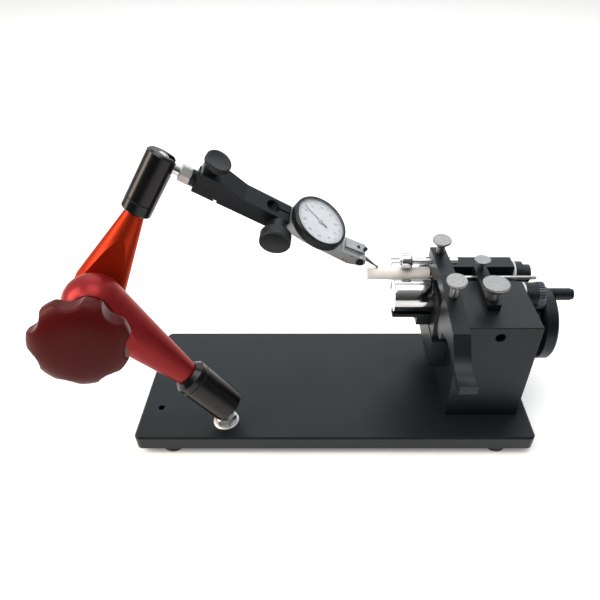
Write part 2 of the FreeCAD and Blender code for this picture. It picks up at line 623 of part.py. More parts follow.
# Pivot shaft with its washer, and the close-wound spring that brings the lever back
pivot_start = LEVER_X + PIVOT_INSET
keep("pivot_shaft", rod(PIVOT_R, PIVOT_END - pivot_start, (pivot_start, PIVOT_Y, PIVOT_Z), X))
washer_x = LEVER_END + 0.1
washer = rod(WASHER_R, HOUSING_X - washer_x - GAP / 2, (washer_x, PIVOT_Y, PIVOT_Z), X)
keep("pivot_washer", washer.cut(rod(PIVOT_R, LEVER_WIDTH, (washer_x, PIVOT_Y, PIVOT_Z), X)))
spring_mid = SPRING_R - SPRING_WIRE_R
coils = [(spring_mid, 0)]
for i in range(SPRING_TURNS):
    coil_mid = (2 * i + 1) * SPRING_WIRE_R
    coils += [(spring_mid + 0.4 * SPRING_WIRE_R, coil_mid - 0.96 * SPRING_WIRE_R),
              (SPRING_R, coil_mid - 0.4 * SPRING_WIRE_R), (SPRING_R, coil_mid + 0.4 * SPRING_WIRE_R),
              (spring_mid + 0.4 * SPRING_WIRE_R, coil_mid + 0.96 * SPRING_WIRE_R)]
coils.append((spring_mid, SPRING_LENGTH))
spring = turned(coils + [(PIVOT_R + GAP, SPRING_LENGTH), (PIVOT_R + GAP, 0)])
keep("lever_spring", put(spring, framed((HOUSING_X + GAP, PIVOT_Y, PIVOT_Z), Y, X)))

# Press roller on its shaft
press_axis = (PIN_Y, PRESS_Z)
press_roller = drum(PRESS_R, PRESS_WIDTH, 0.4).cut(rod(PRESS_SHAFT_R + RUN, PRESS_WIDTH, (0, 0, 0), Z))
keep("press_roller", put(press_roller, framed((PRESS_X, *press_axis), Z, X)))
tail_x = LEVER_END + PRESS_TAIL_GAP
press_shaft = union(rod(PRESS_HEAD_R, 0.9, (PRESS_X - 1.0, *press_axis), X),
                    rod(PRESS_SHAFT_R, tail_x - PRESS_X + 0.5, (PRESS_X - 0.5, *press_axis), X),
                    rod(PRESS_HEAD_R, 0.8, (PRESS_X + PRESS_WIDTH + 0.1, *press_axis), X),
                    rod(PRESS_TAIL_R, PRESS_TAIL, (tail_x, *press_axis), X))
keep("press_shaft", press_shaft)

# Axial stop: bracket on the housing, rod in the groove, two knurled screws
stop_top = HOUSING_TOP + STOP_THICK
stop_end = STOP_X + STOP_WIDTH
bracket = block(STOP_X, stop_end, STOP_FRONT, STOP_REAR, HOUSING_TOP, stop_top)
bracket = bracket.makeFillet(1.2, [e for e in bracket.Edges if e.BoundBox.ZLength > STOP_THICK - 0.01])
foot_y = PIN_Y - (STOP_REAR - PIN_Y)
bracket = union(bracket, block(STOP_X, stop_end, foot_y, STOP_REAR, groove_floor + 0.1, HOUSING_TOP + 1.0))
bracket = bracket.cut(rod(ROD_R + RUN, STOP_WIDTH, (STOP_X, PIN_Y, ROD_Z), X))
bracket = bracket.cut(rod(LOCK_THREAD_R + RUN, STOP_THICK, (stop_screw_x, STOP_SCREW_Y, HOUSING_TOP), Z))
rod_screw_reach = stop_top - ROD_Z - ROD_R - 2 * RUN
rod_screw_tip = stop_top - rod_screw_reach
bracket = bracket.cut(rod(LOCK_THREAD_R + RUN, rod_screw_reach, (stop_screw_x, PIN_Y, rod_screw_tip), Z))
keep("stop_bracket", bracket)
rod_screw = disc_screw(ROD_SCREW_R, ROD_SCREW_RIM, ROD_SCREW_TAPER, ROD_HUB_R, ROD_NECK_R,
                       ROD_SCREW_HEIGHT, rod_screw_reach)
keep("rod_lock_screw", put(rod_screw, framed((stop_screw_x, PIN_Y, stop_top), X, Z)))
stop_screw = disc_screw(STOP_SCREW_R, STOP_SCREW_RIM, STOP_SCREW_TAPER, STOP_HUB_R, STOP_NECK_R,
                        STOP_SCREW_HEIGHT, STOP_THICK + STOP_SCREW_GRIP)
keep("stop_lock_screw", put(stop_screw, framed((stop_screw_x, STOP_SCREW_Y, stop_top), X, Z)))
stop_rod = rod(ROD_R, ROD_LENGTH, (PIN_X + PIN_LENGTH + TOUCH, PIN_Y, ROD_Z), X)
keep("stop_rod", stop_rod.makeChamfer(0.3, [e for e in stop_rod.Edges if e.BoundBox.XLength < 0.01]))

# Indicator frame: local X runs to the stylus tip, local Y out of the dial, local Z to the user's side
level = Rotation(Vector(0, 0, 1), YAW).multVec(Vector(0, -1, 0))
ahead = Rotation(Vector(0, 0, 1), YAW).multVec(Vector(1, 0, 0))
ahead = Rotation(level, -DIP).multVec(ahead)
toward = Rotation(ahead, ROLL).multVec(level)
dial_up = toward.cross(ahead)
tip = Vector(TIP_X, PIN_Y, PIN_Z + PIN_R + TOUCH + TIP_R)
dial_centre = tip - ahead * TIP_AHEAD + dial_up * TIP_BELOW
LOCAL = framed(dial_centre, ahead, toward)


def local_prism(points, width):
    """Extrude an outline of (ahead, out of dial) points, centred across the width."""
    corners = [Vector(a, n, -width / 2) for a, n in points]
    return Part.Face(Part.makePolygon(corners + corners[:1])).extrude(Vector(0, 0, width))


# Indicator body: tapered case, round boss under the dial, fork at the nose, dovetail rails behind and on top
case_top = BEZEL_FOOT - 0.4
case = local_prism([(BAR_END, case_top), (17.4, case_top), (20.5, -8.6), (STYLUS_A, -7.3),
                    (STYLUS_A + NOSE_R, STYLUS_N), (STYLUS_A, STYLUS_N - NOSE_R), (29.0, -16.5),
                    (-2.2, -15.6), (-12.9, -14.0), (BAR_END, -13.0)], BODY_WIDTH)
nose = rod(NOSE_R, BODY_WIDTH, (STYLUS_A, STYLUS_N, -BODY_WIDTH / 2), Z)
boss_top = -DIAL_DEPTH - DIAL_THICK - 0.2
boss = rod(BOSS_R, boss_top - case_top, (0, case_top, 0), Y)
top_rail = prism([(-9.0, -RAIL_NECK / 2), (-9.0, RAIL_NECK / 2), (-6.2, RAIL_WIDTH / 2),
                  (-6.2, -RAIL_WIDTH / 2)], 22.0, 13.0)
top_rail.rotate(Vector(22.0, -8.0, 0), Vector(0, 0, 1), 5.0)
body = union(case, nose, boss)
fork_back = STYLUS_A - STYLUS_HUB_R - 2 * GAP
fork_roof = STYLUS_N + STYLUS_HUB_R + GAP
fork_half = STYLUS_HUB_WIDTH / 2 + GAP
fork = block(fork_back, STYLUS_A + NOSE_R + 1, STYLUS_N - 8, fork_roof, -fork_half, fork_half)
rail_top = BAR_TOP - 0.4
rail_foot = BAR_FOOT + 3.0
rear_rail = prism([(0, -RAIL_NECK / 2), (0, RAIL_NECK / 2), (-RAIL_HEIGHT, RAIL_WIDTH / 2),
                   (-RAIL_HEIGHT, -RAIL_WIDTH / 2)], 0, rail_top - rail_foot)
rear_rail.Placement = Placement(Vector(BAR_END, rail_foot, 0), Rotation(Vector(0, 0, 1), 90))
body = union(body, rear_rail, top_rail).cut(fork)
body = body.cut(rod(1.2, 5.5, (30.5, -9.5, 0), Y))
body = body.cut(rod(1.2, boss_top + 13.0, (0, -13.0, 0), Y))
keep("indicator_body", put(body, LOCAL))

# Stylus on its hub between two pivot screws
reach = Vector(TIP_AHEAD - STYLUS_A, -TIP_BELOW - STYLUS_N, 0)
stem_length = reach.Length
hub = rod(STYLUS_HUB_R, STYLUS_HUB_WIDTH, (STYLUS_A, STYLUS_N, -STYLUS_HUB_WIDTH / 2), Z)
stem = Part.makeCone(STYLUS_ROOT_R, 0.5, stem_length - TIP_R / 2, Vector(STYLUS_A, STYLUS_N, 0), reach)
keep("stylus", put(union(hub, stem).cut(Part.makeSphere(TIP_R, Vector(TIP_AHEAD, -TIP_BELOW, 0))), LOCAL))
keep("stylus_tip", put(Part.makeSphere(TIP_R, Vector(TIP_AHEAD, -TIP_BELOW, 0)), LOCAL))
pivots = []
for side in (-1, 1):
    outer = side * BODY_WIDTH / 2
    pivots.append(put(rod(2.4, 0.8, (STYLUS_A, STYLUS_N, outer), (0, 0, side)), LOCAL))
keep("stylus_pivots", *pivots)

# Dial, bezel and crystal turn together to set zero; the pointer turns on its arbor below the crystal
bezel = turned([(BOSS_R + GAP, BEZEL_FOOT), (BEZEL_R - 0.6, BEZEL_FOOT), (BEZEL_R, BEZEL_FOOT + 0.6),
                (BEZEL_R, BEZEL_TOP - 1.2), (BEZEL_R - 0.9, BEZEL_TOP), (DIAL_R, BEZEL_TOP),
                (DIAL_R, boss_top + 0.2), (BOSS_R + GAP, boss_top + 0.2)])
DIAL = LOCAL.multiply(framed((0, 0, 0), X, Y))
keep("bezel", put(bezel, DIAL))
dial_face = rod(DIAL_R, DIAL_THICK, (0, 0, -DIAL_DEPTH - DIAL_THICK), Z)
keep("dial_face", put(dial_face.cut(rod(1.3, DIAL_THICK, (0, 0, -DIAL_DEPTH - DIAL_THICK), Z)), DIAL))
keep("crystal", put(rod(DIAL_R, CRYSTAL_THICK, (0, 0, BEZEL_TOP - 0.2 - CRYSTAL_THICK), Z), DIAL))
arbor_foot = boss_top - 6.0
arbor = rod(0.7, POINTER_FOOT + 0.4 - arbor_foot, (0, 0, arbor_foot), Z)
counterweight = prism([(-0.75, 0), (0.75, 0), (0.75, 0.25), (-0.75, 0.25)], -5.0, 6.0)
counterweight.translate(Vector(0, 0, POINTER_FOOT + 0.05))
needle = prism([(-0.35, 0), (0.35, 0), (0.35, 0.25), (-0.35, 0.25)], 0, POINTER_LENGTH)
needle.translate(Vector(0, 0, POINTER_FOOT + 0.05))
pointer = union(arbor, rod(1.6, 0.4, (0, 0, POINTER_FOOT), Z), counterweight, needle)
pointer.rotate(Vector(0, 0, 0), Vector(0, 0, 1), 150.0)
keep("pointer", put(pointer, DIAL))

# Holder bar: rises to a crest, curves over the knuckle block, and pinches the indicator's rear dovetail
knuckle = rod(KNUCKLE_R + GAP, BAR_WIDTH, (KNUCKLE_A, KNUCKLE_N, -BAR_WIDTH / 2), Z)
crest_n = BAR_TOP + BAR_RISE
bar = local_prism([(BAR_END - 0.1, BAR_FOOT), (BAR_TAIL, BAR_FOOT), (BAR_TAIL, crest_n),
                   (BAR_CREST, crest_n), (BAR_KINK, BAR_TOP), (BAR_END - 0.1, BAR_TOP)], BAR_WIDTH)
bar = bar.cut(knuckle)
bar = bar.cut(block(BAR_TAIL - 1, BLOCK_NOSE + GAP, BAR_FOOT - 1, KNUCKLE_N + 6.0, -BAR_WIDTH, BAR_WIDTH))
bar = bar.cut(rod(STEM_BORE_R, BAR_TOP - BAR_FOOT, (STEM_BORE_A, BAR_FOOT, 0), Y))
bar = bar.cut(block(STEM_BORE_A, BAR_END, BAR_FOOT, BAR_TOP, -SLIT / 2, SLIT / 2))
jaw_neck = RAIL_NECK / 2 + RUN * 2
jaw_width = RAIL_WIDTH / 2 + RUN * 3
jaw = prism([(0.2, -jaw_neck), (0.2, jaw_neck), (-RAIL_HEIGHT - 0.1, jaw_width),
             (-RAIL_HEIGHT - 0.1, -jaw_width)], 0, BAR_TOP - BAR_FOOT)
jaw.Placement = Placement(Vector(BAR_END, BAR_FOOT, 0), Rotation(Vector(0, 0, 1), 90))
bar = bar.cut(jaw)
clamp_n = (BAR_TOP + BAR_FOOT) / 2
bar = bar.cut(rod(LOCK_THREAD_R + RUN, BAR_WIDTH, (CLAMP_A, clamp_n, -BAR_WIDTH / 2), Z))
bar = bar.cut(rod(LOCK_THREAD_R + RUN, 12.0, (FINE_A, crest_n - 12.0, 0), Y))
keep("holder_bar", put(bar, LOCAL))
clamp_reach = BAR_WIDTH - 1.0
clamp_knob = thumbscrew(CLAMP_KNOB_R, CLAMP_KNOB_HEIGHT, CLAMP_NECK_R, CLAMP_NECK, LOCK_THREAD_R, clamp_reach)
clamp_knob.translate(Vector(CLAMP_A, clamp_n, BAR_WIDTH / 2))
keep("holder_clamp_knob", put(clamp_knob, LOCAL))
fine_tip = KNUCKLE_N + math.sqrt(KNUCKLE_R ** 2 - (FINE_A - KNUCKLE_A) ** 2)
fine_reach = crest_n - fine_tip - 3 * GAP
fine_screw = thumbscrew(FINE_R, FINE_HEIGHT, FINE_NECK_R, FINE_NECK, LOCK_THREAD_R, fine_reach)
keep("fine_screw", put(fine_screw, LOCAL.multiply(framed((FINE_A, crest_n, 0), X, Y))))

# Knuckle block that carries the bar, and the ball stud screwed into it
kblock = local_prism([(BLOCK_A, BAR_FOOT), (BLOCK_NOSE, BAR_FOOT), (BLOCK_NOSE, KNUCKLE_N + KNUCKLE_R + 1),
                      (BLOCK_A, KNUCKLE_N + KNUCKLE_R + 1)], BAR_WIDTH)
kblock = kblock.common(rod(KNUCKLE_R, BAR_WIDTH, (KNUCKLE_A, KNUCKLE_N, -BAR_WIDTH / 2), Z))
kblock = union(kblock, rod(COLLAR_R, COLLAR + 2.0, (BLOCK_A - COLLAR, UPPER_BALL_N, 0), X))
kblock = kblock.cut(rod(UPPER_NECK_R, COLLAR + 8.0, (BLOCK_A - COLLAR, UPPER_BALL_N, 0), X))
keep("knuckle_block", put(kblock, LOCAL))
upper_stud = union(Part.makeSphere(UPPER_BALL_R, Vector(UPPER_BALL_A, UPPER_BALL_N, 0)),
                   rod(UPPER_NECK_R, BLOCK_A + 6.0 - UPPER_BALL_A, (UPPER_BALL_A, UPPER_BALL_N, 0), X))
keep("upper_ball_stud", put(upper_stud, LOCAL))


def hexagon(flats, height):
    outer = flats / math.sqrt(3)
    turns = [math.radians(a) for a in range(0, 360, 60)]
    corners = [Vector(outer * math.cos(a), outer * math.sin(a), 0) for a in turns]
    solid = Part.Face(Part.makePolygon(corners + corners[:1])).extrude(Vector(0, 0, height))
    return solid.common(turned([(0, 0), (flats * 0.5, 0), (flats * 0.58, height * 0.1),
                                (flats * 0.58, height * 0.9), (flats * 0.5, height), (0, height)]))


stud_nut = hexagon(STUD_NUT_FLATS, STUD_NUT).cut(rod(UPPER_NECK_R, STUD_NUT, (0, 0, 0), Z))
keep("stud_nut", put(stud_nut, LOCAL.multiply(framed((BLOCK_A - COLLAR - STUD_NUT, UPPER_BALL_N, 0), Y, X))))

# Arm geometry: the elbow lies where the two links meet, offset along the elbow axis
lower_ball = Vector(STUD_X, STUD_Y, LOWER_BALL_Z)
upper_ball = dial_centre + ahead * UPPER_BALL_A + dial_up * UPPER_BALL_N
span = upper_ball - lower_ball
along = Vector(span).normalize()
side_1 = Vector(0, 0, 1).cross(along).normalize()
side_2 = along.cross(side_1)
lean = ELBOW_OFFSET / span.Length
swing = math.radians(ARM_SWING)
across = side_1 * math.cos(swing) + side_2 * math.sin(swing)
elbow_axis = across * math.sqrt(1 - lean ** 2) - along * lean
chord = span + elbow_axis * ELBOW_OFFSET
cos_lower = (LOWER_LENGTH ** 2 + chord.Length ** 2 - UPPER_LENGTH ** 2) / (2 * LOWER_LENGTH * chord.Length)
chord_way = Vector(chord).normalize()
lower_way = chord_way * cos_lower + elbow_axis.cross(chord_way) * math.sqrt(1 - cos_lower ** 2)
elbow = lower_ball + lower_way * LOWER_LENGTH
upper_elbow = elbow - elbow_axis * ELBOW_OFFSET
upper_way = (upper_ball - upper_elbow).normalize()
LOWER = framed(lower_ball, elbow_axis, lower_way)
UPPER = framed(upper_ball, elbow_axis, upper_way * -1)


def link(root, root_r, length, elbow_r):
    """A cone that runs from the socket into a ball-shaped elbow. The far ball is at the origin."""
    reach = length - root
    lean = math.asin(elbow_r / math.hypot(root_r, reach)) - math.atan2(root_r, reach)
    cone_end = reach - elbow_r * math.sin(lean)
    cone = Part.makeCone(root_r, elbow_r * math.cos(lean), cone_end, Vector(0, 0, root))
    return union(cone, Part.makeSphere(elbow_r, Vector(0, 0, length)))


def socket(radius, length, mouth, shoulder, ball_r, stud, slot_width, slot_top):
    """A socket that holds a ball at the origin. stud points along the ball's neck, in local axes."""
    shell_r = ball_r + RUN + CUP_WALL
    body = turned([(0, -mouth), (radius - 1.2, -mouth), (radius, 1.2 - mouth), (radius, 0.76 * length),
                   (radius - SOCKET_RING, 0.77 * length), (radius - SOCKET_RING, 0.78 * length),
                   (radius, 0.79 * length), (radius, length - 1.25 * shoulder), (radius - shoulder, length),
                   (0, length)])
    cup_room = Part.makeSphere(shell_r + RUN).common(block(-30, 30, -30, 30, -0.5, 30))
    body = body.cut(cup_room).cut(Part.makeSphere(ball_r + RUN))
    way = Vector(stud.x, stud.y, 0).normalize()
    slot = block(0, 2 * radius, -slot_width / 2, slot_width / 2, -mouth - 1, slot_top)
    slot.rotate(Vector(0, 0, 0), Vector(0, 0, 1), math.degrees(math.atan2(way.y, way.x)))
    return body.cut(slot)


def pressure_cup(ball_r, direction):
    """A spherical cup that bears on the ball, centred on direction."""
    shell = Part.makeSphere(ball_r + RUN + CUP_WALL).cut(Part.makeSphere(ball_r + RUN))
    reach = 2 * (ball_r + CUP_WALL)
    wedge = Part.makeCone(0, reach * math.tan(math.radians(CUP_ANGLE)), reach, Vector(0, 0, 0), direction)
    return shell.common(wedge)


def local_way(placement, direction):
    return placement.Rotation.inverted().multVec(direction)


# Arm foot: a flange washer and nut hold the lower ball stud on the plate
foot_top = PLATE_THICK + FOOT_WASHER + FOOT_NUT
washer = turned([(LOWER_NECK_R, 0), (FOOT_WASHER_R, 0), (FOOT_WASHER_R, FOOT_WASHER * 0.6),
                 (FOOT_WASHER_R - 0.8, FOOT_WASHER), (LOWER_NECK_R, FOOT_WASHER)])
washer.translate(Vector(STUD_X, STUD_Y, PLATE_THICK))
nut = hexagon(FOOT_NUT_FLATS, FOOT_NUT).cut(rod(LOWER_NECK_R, FOOT_NUT, (0, 0, 0), Z))
nut.translate(Vector(STUD_X, STUD_Y, PLATE_THICK + FOOT_WASHER))
lower_shank = rod(LOWER_NECK_R, LOWER_BALL_Z - 1, (STUD_X, STUD_Y, 1), Z)
stud = union(Part.makeSphere(LOWER_BALL_R, lower_ball), lower_shank)
keep("foot_washer", washer)
keep("foot_nut", nut)
keep("lower_ball_stud", stud)

# Lower arm: socket over the stud's ball, tapered link, elbow with a flat boss and a flat for the knob
down = local_way(LOWER, Vector(0, 0, -1))
keep("lower_cup", put(pressure_cup(LOWER_BALL_R, Vector(0, 0, 1)), LOWER))
keep("lower_socket", put(socket(LOWER_SOCKET_R, LOWER_SOCKET, LOWER_MOUTH, LOWER_SHOULDER, LOWER_BALL_R,
                                down, 2 * LOWER_NECK_R + 1, 0.5), LOWER))
boss_reach = ELBOW_OFFSET - UPPER_FLAT - GAP
lower_link = link(LOWER_SOCKET, LOWER_ROOT_R, LOWER_LENGTH, LOWER_ELBOW_R)
lower_link = lower_link.cut(block(KNOB_FLAT, 30, -30, 30, LOWER_LENGTH - 40, LOWER_LENGTH + 20))
lower_link = lower_link.cut(block(-30, -boss_reach, -30, 30, LOWER_LENGTH - 40, LOWER_LENGTH + 20))
lower_link = union(lower_link, rod(ELBOW_BOSS_R, boss_reach, (0, 0, LOWER_LENGTH), (-1, 0, 0)))
keep("lower_arm", put(lower_link.cut(rod(BOLT_R + RUN, 40, (-20, 0, LOWER_LENGTH), X)), LOWER))

# Upper arm: the same form, with a long flat where it meets the lower elbow
stud_way = local_way(UPPER, ahead)
cup_way = Vector(0, 0, 1)
keep("upper_cup", put(pressure_cup(UPPER_BALL_R, cup_way), UPPER))
keep("upper_socket", put(socket(UPPER_SOCKET_R, UPPER_SOCKET, UPPER_MOUTH, UPPER_SHOULDER, UPPER_BALL_R,
                                stud_way, 2 * UPPER_NECK_R + 1, UPPER_NECK_R + 1.2), UPPER))
upper_link = link(UPPER_SOCKET, UPPER_ROOT_R, UPPER_LENGTH, UPPER_ELBOW_R)
upper_link = upper_link.cut(block(UPPER_FLAT, 30, -30, 30, UPPER_SOCKET, UPPER_LENGTH + 20))
keep("upper_arm", put(upper_link.cut(rod(BOLT_R + RUN, 40, (-20, 0, UPPER_LENGTH), X)), UPPER))

# Elbow knob: lobed, domed, with its neck against the lower elbow and a bolt through both links
ELBOW = framed(elbow, lower_way, elbow_axis)
knob_foot = KNOB_REACH - KNOB_THICK
rim = KNOB_REACH - KNOB_DOME
knob = turned([(0, knob_foot), (KNOB_R - 2, knob_foot), (KNOB_R, knob_foot + 2), (KNOB_R, rim - 1.5),
               (KNOB_R - 1.5, rim), (KNOB_R * 0.5, KNOB_REACH - 0.4), (0, KNOB_REACH)])
for i in range(KNOB_LOBES):
    angle = math.radians(360 / KNOB_LOBES * (i + 0.5))
    centre = (KNOB_SCALLOP_AT * math.cos(angle), KNOB_SCALLOP_AT * math.sin(angle), knob_foot - 1)
    knob = knob.cut(rod(KNOB_SCALLOP_R, KNOB_THICK + 2, centre, Z))
neck = turned([(0, KNOB_FLAT + GAP), (KNOB_NECK_R, KNOB_FLAT + GAP), (KNOB_NECK_R, knob_foot - KNOB_FLARE),
               (KNOB_NECK_R + 0.2 * KNOB_FLARE, knob_foot - 0.4 * KNOB_FLARE),
               (KNOB_NECK_R + 0.6 * KNOB_FLARE, knob_foot - 0.1 * KNOB_FLARE),
               (KNOB_NECK_R + KNOB_FLARE, knob_foot + 0.5), (0, knob_foot + 0.5)])
knob = union(knob, neck)
knob.rotate(Vector(0, 0, 0), Vector(0, 0, 1), KNOB_TURN)
bolt_start = -ELBOW_OFFSET - UPPER_ELBOW_R * 0.75
bolt_hole = rod(BOLT_R, 12.0, (0, 0, KNOB_FLAT), Z)
keep("elbow_knob", put(knob.cut(bolt_hole), ELBOW))
keep("elbow_bolt", put(rod(BOLT_R, KNOB_FLAT + 12.0 - bolt_start, (0, 0, bolt_start), Z), ELBOW))

os.makedirs("parts", exist_ok=True)
for name, shape in NODES.items():
    shape.exportStep("parts/" + name + ".step")
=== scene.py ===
"""Concentricity gauge: the looks of a bench gauge whose frame comes from its CAD model."""
import json
import math

import bmesh
import bpy
from bpy.props import BoolProperty, FloatProperty, FloatVectorProperty, IntProperty, StringProperty
from mathutils import Matrix, Vector


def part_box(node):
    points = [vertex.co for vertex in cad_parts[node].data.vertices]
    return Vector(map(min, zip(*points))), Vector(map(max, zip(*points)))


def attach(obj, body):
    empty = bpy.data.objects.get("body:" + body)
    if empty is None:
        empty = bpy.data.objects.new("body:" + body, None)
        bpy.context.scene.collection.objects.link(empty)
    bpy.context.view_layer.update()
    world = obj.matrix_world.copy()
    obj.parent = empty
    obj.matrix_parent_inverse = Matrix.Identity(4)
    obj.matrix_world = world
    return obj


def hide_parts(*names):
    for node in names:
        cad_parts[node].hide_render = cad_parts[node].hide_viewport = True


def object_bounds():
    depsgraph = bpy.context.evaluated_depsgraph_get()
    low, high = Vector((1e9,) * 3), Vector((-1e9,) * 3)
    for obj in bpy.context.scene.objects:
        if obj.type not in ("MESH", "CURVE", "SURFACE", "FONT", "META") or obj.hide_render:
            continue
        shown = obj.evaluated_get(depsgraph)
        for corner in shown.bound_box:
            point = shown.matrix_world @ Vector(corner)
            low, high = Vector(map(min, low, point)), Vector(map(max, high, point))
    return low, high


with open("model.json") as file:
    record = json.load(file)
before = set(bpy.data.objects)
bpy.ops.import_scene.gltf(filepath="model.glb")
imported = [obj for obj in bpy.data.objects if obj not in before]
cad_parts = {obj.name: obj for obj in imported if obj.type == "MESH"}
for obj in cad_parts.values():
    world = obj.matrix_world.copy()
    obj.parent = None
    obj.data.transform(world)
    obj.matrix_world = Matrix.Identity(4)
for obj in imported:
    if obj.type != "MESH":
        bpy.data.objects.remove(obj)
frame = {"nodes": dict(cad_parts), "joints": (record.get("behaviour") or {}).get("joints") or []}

bl_info = {
    "name": "Concentricity Gauge",
    "version": (1, 0, 0),
    "blender": (4, 5, 0),
    "location": "View3D > Sidebar > Gauge",
    "description": "Dresses the CAD frame of a concentricity gauge with detailed pieces and materials",
    "category": "Add Mesh",
}

MM = 0.001

# Sizes of what this script turns, in mm, the same as the CAD model's
ROLLER_R = 10.5
ROLLER_LENGTH = 23.0
ROLLER_EDGE = 0.8
SHAFT_R = 4.0
SHAFT_END_R = 2.5
SHOULDER_GAP = 0.3
PIN_R = 4.0
PIN_EDGE = 0.4
PRESS_ROLLER_R = 5.0
PRESS_ROLLER_BORE_R = 1.85
PRESS_ROLLER_EDGE = 0.35
STOP_ROD_R = 1.25
STOP_ROD_EDGE = 0.3
BEZEL_R = 17.2
MARK_OUTER = 14.4
CIRCLE_WIDTH = 0.1
MARK_HEIGHT = -1.03
NUMBER_RADIUS = 10.7
NUMBER_HEIGHT = -1.02
POINTER_ANGLE = 150.0
POINTER_LOW = -0.70
POINTER_HIGH = -0.47
RAIL_SCREW_R = 1.2
RAIL_SCREW_AHEAD = 34.8
CASE_SIDE = 6.0
KNOB_TURN = -13.0

# Share of a rounded corner's radius by which its middle point lies off each side
CORNER_MIDDLE = 0.29
CAD_BOX = [list(corner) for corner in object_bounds()]
JOINTS = {joint["name"]: joint for joint in frame["joints"]}


def joint_point(name):
    return Vector(JOINTS[name]["pos_m"])


def joint_way(name):
    return Vector(JOINTS[name]["axis"]).normalized()


def placed(origin, z_way, x_way):
    """A matrix whose Z follows z_way and whose X leans to x_way."""
    z = Vector(z_way).normalized()
    y = z.cross(Vector(x_way)).normalized()
    x = y.cross(z)
    rows = [(x[i], y[i], z[i], origin[i]) for i in range(3)]
    return Matrix(rows + [(0, 0, 0, 1)])


def along_x(x, joint):
    """A matrix whose Z runs along +X from x, on the axis of a joint."""
    point = joint_point(joint)
    return placed((x, point.y, point.z), (1, 0, 0), (0, 1, 0))


# Colours and sizes that a user may change


class GaugeFinish(bpy.types.PropertyGroup):
    """Colours of the finishes, as sRGB hex."""
    anodised_black: StringProperty(name="Anodised black", description="Plate, head and holder",
                                   default="#13171a")
    lower_red: StringProperty(name="Lower arm red", description="Matt red of the lower arm",
                              default="#7e1b1e")
    upper_red: StringProperty(name="Upper arm red", description="Bright red of the upper arm",
                              default="#a42c13")
    knob_red: StringProperty(name="Knob red", description="Moulded elbow knob", default="#4a0b0c")
    bright_steel: StringProperty(name="Bright steel", description="Turned screws and shafts",
                                 default="#d2d2d0")
    chrome: StringProperty(name="Chrome", description="Rollers and ball studs", default="#c4c4c6")
    case_grey: StringProperty(name="Case grey", description="Satin indicator case",
                              default="#b9bcc0")
    dial_white: StringProperty(name="Dial white", description="Printed dial", default="#f8faff")
    dial_ink: StringProperty(name="Dial ink", description="Ticks and numbers", default="#5a6270")
    nylon_white: StringProperty(name="Nylon white", description="End rings", default="#cfd2d6")
    pin_ivory: StringProperty(name="Pin ivory", description="Test pin", default="#f1ece6")
    floor: StringProperty(name="Floor", description="Pale floor", default="#fafafa")


class GaugeSizes(bpy.types.PropertyGroup):
    """Sizes of the details that scene pieces add."""
    knurl_pitch: FloatProperty(name="Knurl pitch", description="Distance between knurl crests",
                               default=0.8 * MM, unit="LENGTH", precision=5)
    knurl_depth: FloatProperty(name="Knurl depth", description="Depth of the knurl",
                               default=0.16 * MM, unit="LENGTH", precision=5)
    dial_marks: IntProperty(name="Dial marks", description="Marks round the dial",
                             default=100, min=20, max=200)
    number_height: FloatProperty(name="Number height", description="Height of the dial numbers",
                                 default=1.6 * MM, unit="LENGTH", precision=5)
    edge_round: FloatProperty(name="Edge round", description="Radius of the broken edges",
                              default=0.35 * MM, unit="LENGTH", precision=5)


class GaugeStage(bpy.types.PropertyGroup):
    """Camera and light."""
    camera_place: FloatVectorProperty(name="Camera place", description="Where the camera stands",
                                      default=(-0.0063, -0.2611, 0.2792), subtype="XYZ",
                                      unit="LENGTH", precision=5)
    camera_pitch: FloatProperty(name="Camera pitch", description="Angle below the horizon",
                                default=math.radians(39.37), subtype="ANGLE")
    camera_lens: FloatProperty(name="Lens", description="Focal length on a 36 mm sensor", default=32.39)
    sky: FloatProperty(name="Sky", description="Strength of the white studio", default=0.95)
    soft_light: FloatProperty(name="Soft light", description="Strength of the soft boxes", default=1.0)
    show_floor: BoolProperty(name="Show floor", description="Lay the pale floor", default=True)


# Small helpers for materials


def linear(hex_colour):
    """sRGB hex to linear RGBA."""
    parts = [int(hex_colour[i:i + 2], 16) / 255 for i in (1, 3, 5)]
    return [c / 12.92 if c <= 0.04045 else ((c + 0.055) / 1.055) ** 2.4 for c in parts] + [1.0]


def shaded(hex_colour, factor):
    """A colour made lighter or darker by a factor."""
    return [c * factor for c in linear(hex_colour)[:3]] + [1.0]


def add(tree, kind, inputs=None, **settings):
    """Add one node, set its attributes, and set or link its inputs."""
    node = tree.nodes.new("ShaderNode" + kind)
    for key, value in settings.items():
        setattr(node, key, value)
    for key, value in (inputs or {}).items():
        if isinstance(value, bpy.types.NodeSocket):
            tree.links.new(value, node.inputs[key])
        else:
            node.inputs[key].default_value = value
    return node


def ramp(tree, factor, stops):
    """A colour ramp over factor with (position, colour) stops."""
    node = add(tree, "ValToRGB", {"Fac": factor})
    elements = node.color_ramp.elements
    while len(elements) < len(stops):
        elements.new(0.5)
    for element, (position, colour) in zip(elements, stops):
        element.position = position
        element.color = colour
    return node


def fresh(name, **sockets):
    """A new material with its shader's own sockets set."""
    material = bpy.data.materials.new(name)
    material.use_nodes = True
    tree = material.node_tree
    shader = tree.nodes["Principled BSDF"]
    for key, value in sockets.items():
        shader.inputs[key.replace("_", " ")].default_value = value
    return material, tree, shader


def per_mm(size_mm):
    """Noise scale that gives one feature per size_mm, in metres of object space."""
    return 1.0 / (size_mm * MM)


